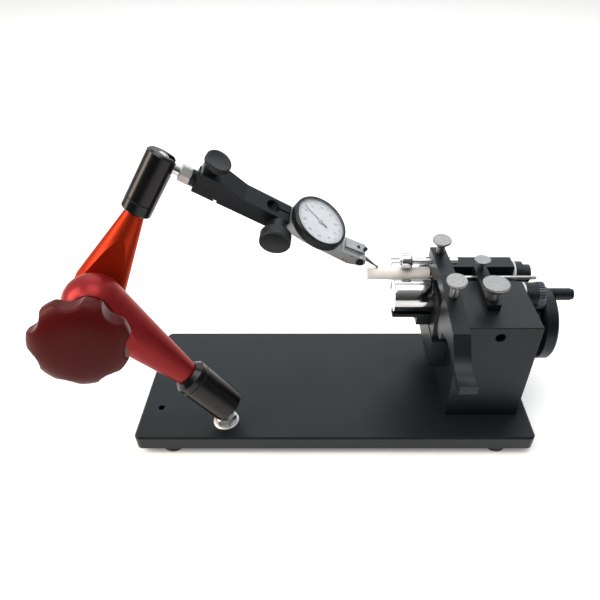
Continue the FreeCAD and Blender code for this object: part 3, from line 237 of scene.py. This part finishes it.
def grain(tree, size_mm, detail=3.0, rough=0.55, stretch=(1, 1, 1)):
    """Noise from 0 to 1 whose features are size_mm across, drawn out by stretch."""
    place = add(tree, "TexCoord").outputs["Object"]
    if stretch != (1, 1, 1):
        place = add(tree, "Mapping", {"Vector": place, "Scale": stretch}).outputs["Vector"]
    return add(tree, "TexNoise", {"Vector": place, "Scale": per_mm(size_mm), "Detail": detail,
                                  "Roughness": rough}).outputs["Fac"]


def relief(tree, shader, height, strength, depth_mm, edge=0.0):
    """Bump from a height, over softly rounded edges."""
    inputs = {"Height": height, "Strength": strength, "Distance": depth_mm * MM}
    if edge:
        inputs["Normal"] = add(tree, "Bevel", {"Radius": edge}, samples=6).outputs["Normal"]
    tree.links.new(add(tree, "Bump", inputs).outputs["Normal"], shader.inputs["Normal"])


def spread(tree, factor, low, high):
    """Map 0..1 to low..high."""
    return add(tree, "MapRange", {"Value": factor, "To Min": low, "To Max": high}).outputs["Result"]


def tint(tree, shader, factor, dark, light):
    """A base colour that wanders between two shades."""
    shades = ramp(tree, factor, [(0.3, dark), (0.7, light)])
    tree.links.new(shades.outputs["Color"], shader.inputs["Base Color"])


# Materials, each named for the real one


def anodised_aluminium(name, hex_colour, edge, roughness, blast_mm=0.35, metallic=0.0, level=0.35,
                       low=0.85, high=1.15, sheen=(0.88, 0.95, 1.0, 1)):
    """Bead-blasted and dyed aluminium: an even satin with a very fine grain and slightly cloudy dye."""
    material, tree, shader = fresh(name, Metallic=metallic, IOR=1.5, Specular_IOR_Level=level,
                                   Specular_Tint=sheen)
    cloud = grain(tree, 26.0, 4.0)
    tint(tree, shader, cloud, shaded(hex_colour, low), shaded(hex_colour, high))
    blast = grain(tree, blast_mm, 2.0, 0.6)
    tree.links.new(spread(tree, blast, roughness - 0.05, roughness + 0.07), shader.inputs["Roughness"])
    relief(tree, shader, blast, 0.22, 0.05, edge)
    return material


def turned_metal(name, hex_colour, roughness, axis_stretch=(1, 1, 1), line_mm=0.25, edge=0.0,
                 relief_by=0.15, cloud_mm=9.0, low=0.9, high=1.05):
    """Lathe-turned metal: bright, with fine rings left by the tool."""
    material, tree, shader = fresh(name, Metallic=1.0)
    smudge = grain(tree, cloud_mm, 3.0)
    tint(tree, shader, smudge, shaded(hex_colour, low), shaded(hex_colour, high))
    lines = grain(tree, line_mm, 2.0, 0.5, axis_stretch)
    tree.links.new(spread(tree, lines, roughness - 0.04, roughness + 0.08), shader.inputs["Roughness"])
    relief(tree, shader, lines, relief_by, 0.02, edge)
    return material


def moulded_plastic(name, hex_colour, roughness, texture_mm=0.5, depth=0.15, edge=0.0, level=0.5,
                    sheen=(1, 1, 1, 1)):
    """Injection-moulded plastic: even colour, a light sheen and a faint moulded texture."""
    material, tree, shader = fresh(name, IOR=1.46, Specular_IOR_Level=level, Specular_Tint=sheen)
    cloud = grain(tree, 15.0, 2.0)
    tint(tree, shader, cloud, shaded(hex_colour, 0.94), shaded(hex_colour, 1.04))
    texture = grain(tree, texture_mm, 2.0)
    tree.links.new(spread(tree, texture, roughness - 0.04, roughness + 0.06), shader.inputs["Roughness"])
    relief(tree, shader, texture, depth, 0.03, edge)
    return material


def make_materials(finish, sizes):
    edge = sizes.edge_round
    table = {}
    # Black anodised plate: blasted slab, satin, so its top picks up the studio light as a dark grey.
    table["plate"] = anodised_aluminium("Satin black anodised plate", finish.anodised_black, edge, 0.36,
                                        level=0.28)
    # Black anodised head: the same finish, milled faces with sharp broken edges.
    table["head"] = anodised_aluminium("Black anodised milled block", finish.anodised_black, edge, 0.38,
                                       level=0.25)
    # Black anodised lever and holder: finer blast, a little glossier on the rounds.
    table["lever"] = anodised_aluminium("Black anodised lever", "#14171b", edge, 0.34, 0.25, level=0.22)
    # Lower arm: matt red anodising, so the light spreads over the cone in a soft pink.
    table["lower_arm"] = anodised_aluminium("Matt red anodised arm", finish.lower_red, 0.0, 0.33, 0.2,
                                            0.45, 0.45, sheen=(1.0, 0.45, 0.42, 1))
    # Upper arm: metal under clear red dye, so its highlights stay bright and turn orange.
    table["upper_arm"] = anodised_aluminium("Bright red anodised arm", finish.upper_red, 0.0, 0.42, 0.2,
                                            0.7, 0.4, sheen=(1.0, 0.42, 0.3, 1))
    # Moulded red knob: dark satin nylon with a soft sheen.
    table["knob"] = moulded_plastic("Moulded red nylon knob", finish.knob_red, 0.36, 0.6, 0.15, level=0.12)
    # Gloss black sockets: hard anodised and polished, with long clear reflections.
    material, tree, shader = fresh("Polished black anodised socket", IOR=1.5, Specular_IOR_Level=0.3)
    wipe = grain(tree, 6.0, 3.0)
    tint(tree, shader, wipe, shaded("#08080a", 0.8), shaded("#08080a", 1.2))
    tree.links.new(spread(tree, wipe, 0.20, 0.28), shader.inputs["Roughness"])
    table["socket"] = material
    # Chromed ground steel: mirror with a trace of grinding.
    table["chrome"] = turned_metal("Ground chromed steel", finish.chrome, 0.10, (40, 1, 1), 0.5)
    # Turned bright steel: softer, with tool rings.
    table["steel"] = turned_metal("Turned bright steel", finish.bright_steel, 0.32, (6, 6, 6), 0.8,
                                  edge * 0.4)
    # Nickel-plated screws: the disc tops are finely blasted and look mottled.
    table["nickel"] = turned_metal("Blasted nickel screw", "#969696", 0.40, (1, 1, 1), 0.45, relief_by=0.6,
                                   cloud_mm=0.9, low=0.8, high=1.14)
    # Zinc-white washer face.
    table["washer"] = turned_metal("Blasted nickel washer", "#dcdcdc", 0.42, (3, 3, 3), 0.4)
    # Satin chrome indicator case: fine matt plating.
    table["case"] = turned_metal("Satin chromed case", finish.case_grey, 0.40, (3, 3, 3), 0.35, edge * 0.6)
    # Black oxide steel: thin dark skin over metal.
    table["oxide"] = anodised_aluminium("Black oxide steel", "#16171a", edge * 0.6, 0.36, 0.3, 0.2, 0.4)
    # Black handwheel: moulded satin.
    table["handwheel"] = moulded_plastic("Moulded black phenolic", "#101216", 0.34, 0.8, 0.2, edge, 0.35,
                                         (0.72, 0.84, 1.0, 1))
    # Nitrile rubber: dull, faint grain.
    table["rubber"] = moulded_plastic("Nitrile rubber", "#1b1b1c", 0.75, 0.7, 0.4)
    # White nylon rings: waxy, slightly translucent look.
    table["nylon"] = moulded_plastic("Turned white nylon", finish.nylon_white, 0.45, 0.5, 0.15)
    waxy = table["nylon"].node_tree.nodes["Principled BSDF"]
    waxy.inputs["Subsurface Weight"].default_value = 0.15
    waxy.inputs["Subsurface Radius"].default_value = (0.002, 0.002, 0.002)
    # Ground acetal pin: ivory white with faint grinding lines.
    table["pin"] = moulded_plastic("Ground ivory acetal pin", finish.pin_ivory, 0.38, 0.4, 0.12)
    # Sintered bronze bushes: open grain, dull gold.
    table["bronze"] = turned_metal("Sintered bronze", "#a9855a", 0.45, (1, 1, 1), 0.3)
    # Hardened stylus steel: ground grey, only half bright.
    table["stylus"] = turned_metal("Hardened stylus steel", "#77797b", 0.34, (1, 1, 1), 0.3)
    # Gears: dark turned steel whose tooth tips catch the light.
    table["gear"] = turned_metal("Dark turned gear steel", "#7d8087", 0.36, (4, 4, 4), 0.4, edge * 0.4)
    # Brass screws.
    table["brass"] = turned_metal("Turned brass", "#c9a35c", 0.28, (4, 4, 4), 0.4)
    # Spring wire.
    table["spring"] = turned_metal("Drawn spring wire", "#8f9194", 0.3, (4, 4, 4), 0.4)
    # Enamelled dial: clean white with the faintest mottle.
    table["dial"] = moulded_plastic("Printed enamel dial", finish.dial_white, 0.5, 0.8, 0.05)
    # Printing ink: flat and dark.
    table["ink"] = moulded_plastic("Dial printing ink", finish.dial_ink, 0.6, 0.4, 0.05)
    # Mineral glass crystal: thin and clear.
    material, tree, shader = fresh("Mineral glass crystal", Roughness=0.03, IOR=1.7, Alpha=0.16)
    haze = grain(tree, 8.0, 2.0)
    tint(tree, shader, haze, shaded("#b8bcc2", 0.98), shaded("#bcc0c6", 1.0))
    table["glass"] = material
    return table


NODE_FINISH = {
    "base_plate": "plate", "feet": "rubber", "foot_studs": "steel", "housing_block": "head",
    "bearing_block": "head", "bearing_support": "head", "shaft_bushes": "bronze", "nylon_rings": "nylon",
    "roller_tray": "head", "tray_screw": "steel", "front_roller": "chrome", "rear_roller": "chrome",
    "test_pin": "pin", "front_collar": "oxide", "rear_collar": "oxide",
    "pinion": "gear", "drive_gear": "gear", "handwheel": "handwheel", "wheel_shaft": "steel",
    "grip_pin": "handwheel", "crank_grip": "handwheel", "press_lever": "lever", "pivot_shaft": "oxide",
    "pivot_washer": "steel", "lever_spring": "spring", "press_roller": "chrome", "press_shaft": "steel",
    "press_lock_screw": "nickel", "pivot_lock_screw": "nickel", "stop_rod": "steel", "stop_bracket": "lever",
    "rod_lock_screw": "nickel", "stop_lock_screw": "nickel", "foot_washer": "washer", "foot_nut": "steel",
    "lower_ball_stud": "chrome", "lower_cup": "bronze", "lower_socket": "socket", "lower_arm": "lower_arm",
    "elbow_knob": "knob", "elbow_bolt": "steel", "upper_arm": "upper_arm", "upper_socket": "socket",
    "upper_cup": "bronze", "upper_ball_stud": "chrome", "stud_nut": "steel", "knuckle_block": "lever",
    "holder_bar": "lever", "fine_screw": "oxide", "holder_clamp_knob": "oxide", "indicator_body": "case",
    "stylus_pivots": "oxide", "bezel": "oxide", "dial_face": "dial", "crystal": "glass", "pointer": "ink",
    "stylus": "stylus", "stylus_tip": "stylus",
}


def finishes():
    """The materials, made once."""
    scene = bpy.context.scene
    if not finishes.table:
        finishes.table = make_materials(scene.gauge_finish, scene.gauge_sizes)
    return finishes.table


finishes.table = {}


# Small helpers for meshes


def piece(name, mesh, finish, body, *nodes, smooth=35.0):
    """Link a mesh as a piece that rides on a body and may stand for CAD nodes."""
    obj = bpy.data.objects.new(name, mesh)
    bpy.context.scene.collection.objects.link(obj)
    if not mesh.materials:
        mesh.materials.append(finishes()[finish])
    if smooth:
        mesh.shade_smooth()
        mesh.set_sharp_from_angle(angle=math.radians(smooth))
    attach(obj, body)
    if nodes:
        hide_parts(*nodes)
    return obj


def lathe(name, profile, matrix, steps=96, radius_at=None, closed=False):
    """Revolve (radius, height) points in mm about Z. radius_at may shift a radius by angle and row."""
    bm = bmesh.new()
    rows = []
    for j, (radius, height) in enumerate(profile):
        if radius < 1e-6:
            rows.append([bm.verts.new((0, 0, height * MM))])
            continue
        ring = []
        for i in range(steps):
            angle = 2 * math.pi * i / steps
            r = radius + (radius_at(angle, j, height) if radius_at else 0.0)
            ring.append(bm.verts.new((r * MM * math.cos(angle), r * MM * math.sin(angle), height * MM)))
        rows.append(ring)
    pairs = list(zip(rows, rows[1:]))
    if closed:
        pairs.append((rows[-1], rows[0]))
    for low, high in pairs:
        for i in range(steps):
            k = (i + 1) % steps
            corners = [low[i % len(low)], low[k % len(low)], high[k % len(high)], high[i % len(high)]]
            unique = list(dict.fromkeys(corners))
            if len(unique) > 2:
                bm.faces.new(unique)
    bmesh.ops.recalc_face_normals(bm, faces=bm.faces)
    mesh = bpy.data.meshes.new(name)
    bm.to_mesh(mesh)
    bm.free()
    mesh.transform(matrix)
    return mesh


def rounded(radius, low, high, edge):
    """Three points round a disc's outer corner, from its face at low to its wall towards high."""
    way = 1 if high > low else -1
    middle = CORNER_MIDDLE * edge
    return [(radius - edge, low), (radius - middle, low + way * middle), (radius, low + way * edge)]


def drum(radius, low, high, edge):
    """The outer wall of a turned disc with rounded edges."""
    return rounded(radius, low, high, edge) + rounded(radius, high, low, edge)[::-1]


# Operators: one for each piece or group of like pieces


class GAUGE_OT_finishes(bpy.types.Operator):
    """Give every CAD node its material"""
    bl_idname = "gauge.finishes"
    bl_label = "Finishes"

    def execute(self, context):
        for node, obj in frame["nodes"].items():
            obj.data.materials.clear()
            obj.data.materials.append(finishes()[NODE_FINISH[node]])
        return {"FINISHED"}


class GAUGE_OT_rollers(bpy.types.Operator):
    """Turn the two rollers, the test pin, the press roller and the stop rod"""
    bl_idname = "gauge.rollers"
    bl_label = "Rollers and pin"

    def execute(self, context):
        self.driven_rollers()
        self.pin_and_press_roller()
        self.stop_rod()
        return {"FINISHED"}

    def driven_rollers(self):
        """Each roller with its shaft, which steps down where it enters the bearing block."""
        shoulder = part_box("bearing_block")[0].x / MM - SHOULDER_GAP
        for name in ("front_roller", "rear_roller"):
            low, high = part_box(name)
            step = shoulder - low.x / MM
            end = (high.x - low.x) / MM
            profile = [(0, 0)] + drum(ROLLER_R, 0, ROLLER_LENGTH, ROLLER_EDGE)
            profile += [(SHAFT_R, ROLLER_LENGTH), (SHAFT_R, step), (SHAFT_END_R, step), (SHAFT_END_R, end),
                        (0, end)]
            mesh = lathe(name, profile, along_x(low.x, name.replace("roller", "spin")), 128)
            piece(name + "_turned", mesh, "chrome", name, name, smooth=28.0)

    def pin_and_press_roller(self):
        low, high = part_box("test_pin")
        length = (high.x - low.x) / MM
        profile = [(0, 0)] + drum(PIN_R, 0, length, PIN_EDGE) + [(0, length)]
        mesh = lathe("test_pin", profile, along_x(low.x, "pin_spin"), 96)
        piece("test_pin_turned", mesh, "pin", "test_pin", "test_pin")
        low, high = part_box("press_roller")
        width = (high.x - low.x) / MM
        profile = drum(PRESS_ROLLER_R, 0, width, PRESS_ROLLER_EDGE)
        profile += [(PRESS_ROLLER_BORE_R, width), (PRESS_ROLLER_BORE_R, 0)]
        mesh = lathe("press_roller", profile, along_x(low.x, "press_spin"), 96, closed=True)
        piece("press_roller_turned", mesh, "chrome", "press_roller", "press_roller", smooth=28.0)

    def stop_rod(self):
        low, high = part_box("stop_rod")
        length = (high.x - low.x) / MM
        middle = (low + high) / 2
        profile = [(0, 0)] + drum(STOP_ROD_R, 0, length, STOP_ROD_EDGE) + [(0, length)]
        place = placed((low.x, middle.y, middle.z), (1, 0, 0), (0, 1, 0))
        piece("stop_rod_turned", lathe("stop_rod", profile, place, 48), "steel", "stop_rod", "stop_rod")


def triangle(value):
    """A triangle wave from 0 to 1 with period 1."""
    return abs((value % 1.0) * 2 - 1)


def knurl(radius, sizes, low, high):
    """Radius shift in mm for lathe(): a straight knurl between two heights, and the steps that carry it."""
    count = round(2 * math.pi * radius / (sizes.knurl_pitch / MM))
    depth = sizes.knurl_depth / MM

    def shift(angle, row, height):
        return -depth * triangle(angle * count / (2 * math.pi)) if low <= height <= high else 0.0

    return shift, count * 4


def disc_profile(radius, rim, taper, hub, neck, height, thread):
    """Half section of a disc-headed screw: thread, narrow neck, tapered hub and a thin knurled rim."""
    under = height - rim
    return [(0, -thread), (1.3, -thread), (1.6, 0.3 - thread), (1.6, 0), (neck - 0.4, 0.02),
            (neck, 0.42), (neck, under - taper - 0.05), (hub - 0.15, under - taper),
            (hub, under - taper + 0.15), (0.86 * radius - 0.25, under - 0.1), (0.86 * radius, under),
            (radius - 0.32, under + 0.02), (radius - 0.05, under + 0.25), (radius, under + 0.36),
            (radius, height - 0.5), (radius - 0.05, height - 0.36), (radius - 0.2, height - 0.12),
            (radius - 0.42, height), (radius * 0.5, height), (0, height)]


def head_profile(radius, neck, foot, height, thread):
    """Half section of a knurled knob: thread, neck, and a rounded head with a faintly dished top."""
    top = foot + height
    return [(0, -thread), (1.3, -thread), (1.6, 0.3 - thread), (1.6, 0), (neck, 0.02), (neck, foot - 0.3),
            (neck + 0.3, foot), (radius - 0.6, foot), (radius - 0.2, foot + 0.18), (radius, foot + 0.5),
            (radius, foot + 0.6), (radius, top - 0.6), (radius, top - 0.5), (radius - 0.2, top - 0.18),
            (radius - 0.6, top), (radius - 1.1, top), (radius - 1.4, top - 0.12), (0, top - 0.12)]


class GAUGE_OT_knurled_screws(bpy.types.Operator):
    """Turn and knurl the screws of the lever, the stop and the holder"""
    bl_idname = "gauge.knurled_screws"
    bl_label = "Knurled screws"

    def execute(self, context):
        sizes = context.scene.gauge_sizes
        for node, joint, section in (
                ("press_lock_screw", "press_lock_turn", (5.75, 1.5, 2.8, 3.3, 2.5, 11.6, 2.8)),
                ("pivot_lock_screw", "pivot_lock_turn", (5.75, 1.5, 2.8, 3.3, 2.5, 12.4, 19.9)),
                ("rod_lock_screw", "rod_lock_turn", (5.2, 1.2, 1.6, 2.7, 1.9, 6.9, 5.8)),
                ("stop_lock_screw", "stop_lock_turn", (7.9, 1.8, 3.0, 5.2, 3.4, 11.2, 12.3))):
            rim_foot = section[5] - section[1]
            shift, steps = knurl(section[0], sizes, rim_foot + 0.3, section[5] - 0.4)
            self.turn(node, joint, "nickel", disc_profile(*section), shift, steps, 0.0)
        for node, joint, section, lift in (
                ("holder_clamp_knob", "clamp_knob_turn", (8.85, 5.6, 7.6, 6.4, 11.6), 6.3),
                ("fine_screw", "fine_screw_turn", (7.0, 3.2, 5.0, 3.4, 4.5), 0.0)):
            foot, height = section[2], section[3]
            shift, steps = knurl(section[0], sizes, foot + 0.55, foot + height - 0.55)
            self.turn(node, joint, "oxide", head_profile(*section), shift, steps, lift)
        return {"FINISHED"}

    def turn(self, node, joint, finish, profile, shift, steps, lift):
        origin, way = joint_point(joint), joint_way(joint)
        side = Vector((1, 0, 0)) if abs(way.x) < 0.9 else Vector((0, 1, 0))
        mesh = lathe(node, profile, placed(origin + way * lift * MM, way, side), steps, shift)
        body = "clamp_knob" if node == "holder_clamp_knob" else node
        piece(node + "_knurled", mesh, finish, body, node, smooth=28.0)


class GAUGE_OT_dial(bpy.types.Operator):
    """Make the knurled bezel, the printed dial with marks and numbers, and the pointer"""
    bl_idname = "gauge.dial"
    bl_label = "Dial"

    def execute(self, context):
        sizes = context.scene.gauge_sizes
        centre, out = joint_point("bezel_turn"), joint_way("bezel_turn")
        toward = joint_way("clamp_knob_turn")
        dial = placed(centre, out, out.cross(toward))
        shift, steps = knurl(BEZEL_R, sizes, -4.2, -0.9)
        profile = [(13.95, -5.0), (16.6, -5.0), (17.02, -4.8), (BEZEL_R, -4.35), (BEZEL_R, -4.15),
                   (BEZEL_R, -0.95), (BEZEL_R, -0.75), (17.05, -0.3), (16.75, 0.2), (16.4, 0.48), (16.0, 0.6),
                   (15.5, 0.6), (15.36, 0.5), (15.32, 0.3), (15.32, -1.52), (13.95, -1.52)]
        mesh = lathe("bezel", profile, dial, steps, shift, closed=True)
        piece("bezel_knurled", mesh, "oxide", "bezel", "bezel", smooth=28.0)
        self.marks(sizes, dial)
        self.numbers(sizes, dial)
        self.pointer(dial)
        self.case_screws(placed(centre, toward, out.cross(toward)))
        return {"FINISHED"}

    def marks(self, sizes, dial):
        """Long, middle and short marks, and the thin circle that they end on."""
        bm = bmesh.new()
        top = MARK_HEIGHT
        for i in range(sizes.dial_marks):
            angle = 2 * math.pi * i / sizes.dial_marks
            long = i % 10 == 0
            middle = i % 5 == 0
            inner = 11.9 if long else 12.5 if middle else 13.0
            half = 0.12 if long else 0.06
            turn = Matrix.Rotation(angle, 3, "Z")
            corners = ((inner, -half, top), (MARK_OUTER, -half, top), (MARK_OUTER, half, top),
                       (inner, half, top))
            bm.faces.new([bm.verts.new((turn @ Vector(corner)) * MM) for corner in corners])
        edges = (MARK_OUTER, MARK_OUTER + CIRCLE_WIDTH)
        ring = [[Vector((r * math.cos(a), r * math.sin(a), top)) * MM for r in edges]
                for a in (2 * math.pi * i / 160 for i in range(160))]
        verts = [[bm.verts.new(p) for p in pair] for pair in ring]
        for a, b in zip(verts, verts[1:] + verts[:1]):
            bm.faces.new((a[0], a[1], b[1], b[0]))
        bmesh.ops.recalc_face_normals(bm, faces=bm.faces)
        mesh = bpy.data.meshes.new("dial_marks")
        bm.to_mesh(mesh)
        bm.free()
        mesh.transform(dial)
        piece("dial_marks", mesh, "ink", "bezel", smooth=0)

    def numbers(self, sizes, dial):
        """Numbers that count up to the foot of the dial and down again."""
        for i, word in enumerate(("0", "10", "20", "30", "40", "50", "40", "30", "20", "10")):
            angle = math.pi / 2 - 2 * math.pi * i / 10
            curve = bpy.data.curves.new("number", "FONT")
            curve.body = word
            curve.size = sizes.number_height * 1.35
            curve.align_x = "CENTER"
            curve.align_y = "CENTER"
            text = bpy.data.objects.new("number", curve)
            bpy.context.scene.collection.objects.link(text)
            bpy.context.view_layer.update()
            graph = bpy.context.evaluated_depsgraph_get()
            mesh = bpy.data.meshes.new_from_object(text.evaluated_get(graph))
            bpy.data.objects.remove(text)
            x = NUMBER_RADIUS * math.cos(angle)
            y = NUMBER_RADIUS * math.sin(angle)
            mesh.transform(dial @ Matrix.Translation(Vector((x, y, NUMBER_HEIGHT)) * MM))
            mesh.materials.clear()
            piece("dial_number_%d" % i, mesh, "ink", "bezel", smooth=0)

    def pointer(self, dial):
        """A thin tapered blade with a short tail, on a turned hub."""
        turn = Matrix.Rotation(math.radians(POINTER_ANGLE), 4, "Z")
        bm = bmesh.new()
        outline = [(-5.0, -0.5), (-4.6, -0.5), (0.5, -0.22), (9.0, -0.14), (13.2, -0.06), (13.2, 0.06),
                   (9.0, 0.14), (0.5, 0.22), (-4.6, 0.5), (-5.0, 0.5)]
        low = [bm.verts.new(Vector((x, y, POINTER_LOW)) * MM) for x, y in outline]
        high = [bm.verts.new(Vector((x, y, POINTER_HIGH)) * MM) for x, y in outline]
        bm.faces.new(low)
        bm.faces.new(high)
        for i in range(len(outline)):
            k = (i + 1) % len(outline)
            bm.faces.new((low[i], low[k], high[k], high[i]))
        bmesh.ops.recalc_face_normals(bm, faces=bm.faces)
        mesh = bpy.data.meshes.new("pointer_blade")
        bm.to_mesh(mesh)
        bm.free()
        mesh.transform(dial @ turn)
        piece("pointer_blade", mesh, "ink", "pointer", "pointer", smooth=0)
        profile = [(0, -1.5), (0.7, -1.5), (0.7, -0.75), (1.5, -0.75), (1.5, -0.45), (1.2, -0.36),
                   (0, -0.36)]
        piece("pointer_hub", lathe("pointer_hub", profile, dial, 48), "steel", "pointer")

    def case_screws(self, side):
        """Two small brass screws sunk in the case's side, and one that stands under its rail."""
        for i, (ahead, below) in enumerate(((28.0, -9.2), (24.8, -14.1))):
            spot = side @ Matrix.Translation(Vector((ahead, below, CASE_SIDE)) * MM)
            profile = [(0, -0.4), (0.85, -0.4), (0.85, 0.1), (0.7, 0.22), (0.35, 0.24), (0.3, 0.05),
                       (0, 0.05)]
            piece("case_screw_%d" % i, lathe("case_screw", profile, spot, 32), "brass", "indicator")
        upright = Matrix.Rotation(math.radians(-90), 4, "X")
        stand = side @ Matrix.Translation(Vector((RAIL_SCREW_AHEAD, 0, 0)) * MM) @ upright
        for name, low, high, finish in (("rail_screw", -6.4, -3.6, "oxide"),
                                        ("rail_screw_foot", -8.4, -6.4, "brass")):
            profile = [(0, low)] + drum(RAIL_SCREW_R, low, high, 0.2) + [(0, high)]
            piece(name, lathe(name, profile, stand, 32), finish, "indicator")


class GAUGE_OT_elbow_knob(bpy.types.Operator):
    """Mould the lobed elbow knob with its rounded face"""
    bl_idname = "gauge.elbow_knob"
    bl_label = "Elbow knob"

    def execute(self, context):
        centre, out = joint_point("elbow_knob_turn"), joint_way("elbow_knob_turn")
        along = (centre - joint_point("arm_tilt")).normalized()
        knob = placed(centre, out, along) @ Matrix.Rotation(math.radians(KNOB_TURN), 4, "Z")
        outer, scallop, reach, lobes, soft = 22.95, 9.2, 28.8, 7, 0.9
        profile = [(10.2, 12.35), (10.45, 12.6), (10.5, 28.9), (10.8, 30.4), (11.4, 31.8), (12.4, 32.9),
                   (13.6, 33.6), (15.2, 34.1), (17.0, 34.42), (20.4, 34.44), (21.6, 34.65), (22.4, 35.2),
                   (22.8, 36.0)]
        profile += [(outer, 37.0 + i * 0.9) for i in range(4)]
        profile += [(22.8, 40.4), (22.5, 41.2), (22.0, 42.0), (21.3, 42.8), (20.4, 43.6), (19.4, 44.3),
                    (18.4, 44.9), (17.3, 45.4), (16.0, 45.9), (14.0, 46.4), (11.5, 46.8), (6.0, 47.1),
                    (0, 47.2)]

        def rim(angle):
            """Radius of the lobed outline."""
            part = 2 * math.pi / lobes
            off = (angle % part) - part / 2
            if abs(reach * math.sin(off)) >= scallop:
                return outer + 3.0
            return reach * math.cos(off) - math.sqrt(scallop ** 2 - (reach * math.sin(off)) ** 2)

        def lobed(angle, row, height):
            """Cut the scallops, with a soft edge where they meet the face and the lobes."""
            radius, cut = profile[row][0], rim(angle)
            if height < 33.9:
                return 0.0
            near = max(soft - abs(radius - cut), 0.0) / soft
            return min(radius, cut) - near * near * soft * 0.25 - radius

        mesh = lathe("elbow_knob", profile, knob, 252, lobed)
        piece("elbow_knob_moulded", mesh, "knob", "elbow_knob", "elbow_knob", smooth=50.0)
        return {"FINISHED"}


class GAUGE_OT_stage(bpy.types.Operator):
    """Lay the floor, hang the lights and set the camera"""
    bl_idname = "gauge.stage"
    bl_label = "Stage"

    def execute(self, context):
        scene = context.scene
        look = scene.gauge_stage
        scene.view_settings.view_transform = "Standard"
        if look.show_floor:
            self.floor(scene)
        self.studio(scene, look)
        data = bpy.data.cameras.new("camera")
        data.sensor_width = 36.0
        data.lens = look.camera_lens
        data.shift_x = -0.0412
        data.shift_y = 0.0307
        data.clip_start = 0.01
        camera = bpy.data.objects.new("camera", data)
        camera.location = look.camera_place
        camera.rotation_euler = (math.pi / 2 - look.camera_pitch, 0, 0)
        scene.collection.objects.link(camera)
        scene.camera = camera
        return {"FINISHED"}

    def floor(self, scene):
        # Matt paper sweep: pale, with a very soft grain.
        material, tree, shader = fresh("Matt paper floor", Roughness=0.9, Specular_IOR_Level=0.1,
                                       Emission_Color=(1, 1, 1, 1), Emission_Strength=0.18)
        hex_colour = scene.gauge_finish.floor
        tint(tree, shader, grain(tree, 4.0, 2.0), shaded(hex_colour, 0.99), linear(hex_colour))
        bm = bmesh.new()
        bmesh.ops.create_grid(bm, x_segments=8, y_segments=8, size=3.0)
        mesh = bpy.data.meshes.new("floor")
        bm.to_mesh(mesh)
        bm.free()
        mesh.materials.append(material)
        floor = bpy.data.objects.new("floor", mesh)
        floor.location.z = CAD_BOX[0][2]
        scene.collection.objects.link(floor)

    def studio(self, scene, look):
        """A white studio, bright above and behind and dark behind the camera, with soft boxes round it."""
        world = bpy.data.worlds.new("studio")
        world.use_nodes = True
        tree = world.node_tree
        way = add(tree, "TexCoord").outputs["Generated"]
        height = add(tree, "VectorMath", {0: way, 1: (0.0, 0.33, 0.375)}, operation="DOT_PRODUCT")
        level = add(tree, "Math", {0: height.outputs["Value"], 1: 0.5}, operation="ADD").outputs["Value"]
        sky = ramp(tree, level, [(0.0, (0.05, 0.05, 0.045, 1)), (0.30, (0.09, 0.09, 0.08, 1)),
                                 (0.50, (0.20, 0.20, 0.19, 1)), (0.75, (0.58, 0.60, 0.61, 1)),
                                 (0.92, (1.0, 1.0, 1.0, 1))])
        tree.links.new(sky.outputs["Color"], tree.nodes["Background"].inputs["Color"])
        tree.nodes["Background"].inputs["Strength"].default_value = look.sky
        scene.world = world
        for name, place, wide, high, power, colour in (
                ("behind", (0.1, 1.0, 0.95), 1.6, 0.7, 4.0, (0.93, 0.97, 1.0)),
                ("left", (-1.0, -0.15, 0.75), 0.45, 0.9, 12.0, (1.0, 0.86, 0.68)),
                ("key", (-0.5, -0.45, 1.1), 0.4, 0.4, 2.5, (1.0, 0.95, 0.88)),
                ("overhead", (0.1, 0.0, 1.2), 0.7, 0.7, 6.0, (1.0, 1.0, 1.0))):
            data = bpy.data.lights.new(name, "AREA")
            data.shape = "RECTANGLE"
            data.size = wide
            data.size_y = high
            data.color = colour
            data.energy = look.soft_light * power
            light = bpy.data.objects.new(name, data)
            light.location = place
            toward = Vector((0, 0, 0.06)) - Vector(place)
            light.rotation_euler = toward.to_track_quat("-Z", "Y").to_euler()
            scene.collection.objects.link(light)


class GAUGE_PT_panel(bpy.types.Panel):
    """Sizes, colours and pieces of the gauge"""
    bl_label = "Concentricity Gauge"
    bl_space_type = "VIEW_3D"
    bl_region_type = "UI"
    bl_category = "Gauge"

    def draw(self, context):
        layout = self.layout
        for group in (context.scene.gauge_sizes, context.scene.gauge_finish, context.scene.gauge_stage):
            for key in group.__annotations__:
                layout.prop(group, key)
        for operator in OPERATORS:
            layout.operator(operator.bl_idname)


OPERATORS = (GAUGE_OT_finishes, GAUGE_OT_rollers, GAUGE_OT_knurled_screws, GAUGE_OT_dial,
             GAUGE_OT_elbow_knob, GAUGE_OT_stage)
GROUPS = {"gauge_finish": GaugeFinish, "gauge_sizes": GaugeSizes, "gauge_stage": GaugeStage}


def register():
    for name, group in GROUPS.items():
        bpy.utils.register_class(group)
        setattr(bpy.types.Scene, name, bpy.props.PointerProperty(type=group))
    for cls in OPERATORS + (GAUGE_PT_panel,):
        bpy.utils.register_class(cls)


def unregister():
    for cls in reversed(OPERATORS + (GAUGE_PT_panel,)):
        bpy.utils.unregister_class(cls)
    for name, group in GROUPS.items():
        delattr(bpy.types.Scene, name)
        bpy.utils.unregister_class(group)


def main():
    register()
    for operator in OPERATORS:
        family, name = operator.bl_idname.split(".")
        getattr(getattr(bpy.ops, family), name)()


if __name__ == "__main__":
    main()
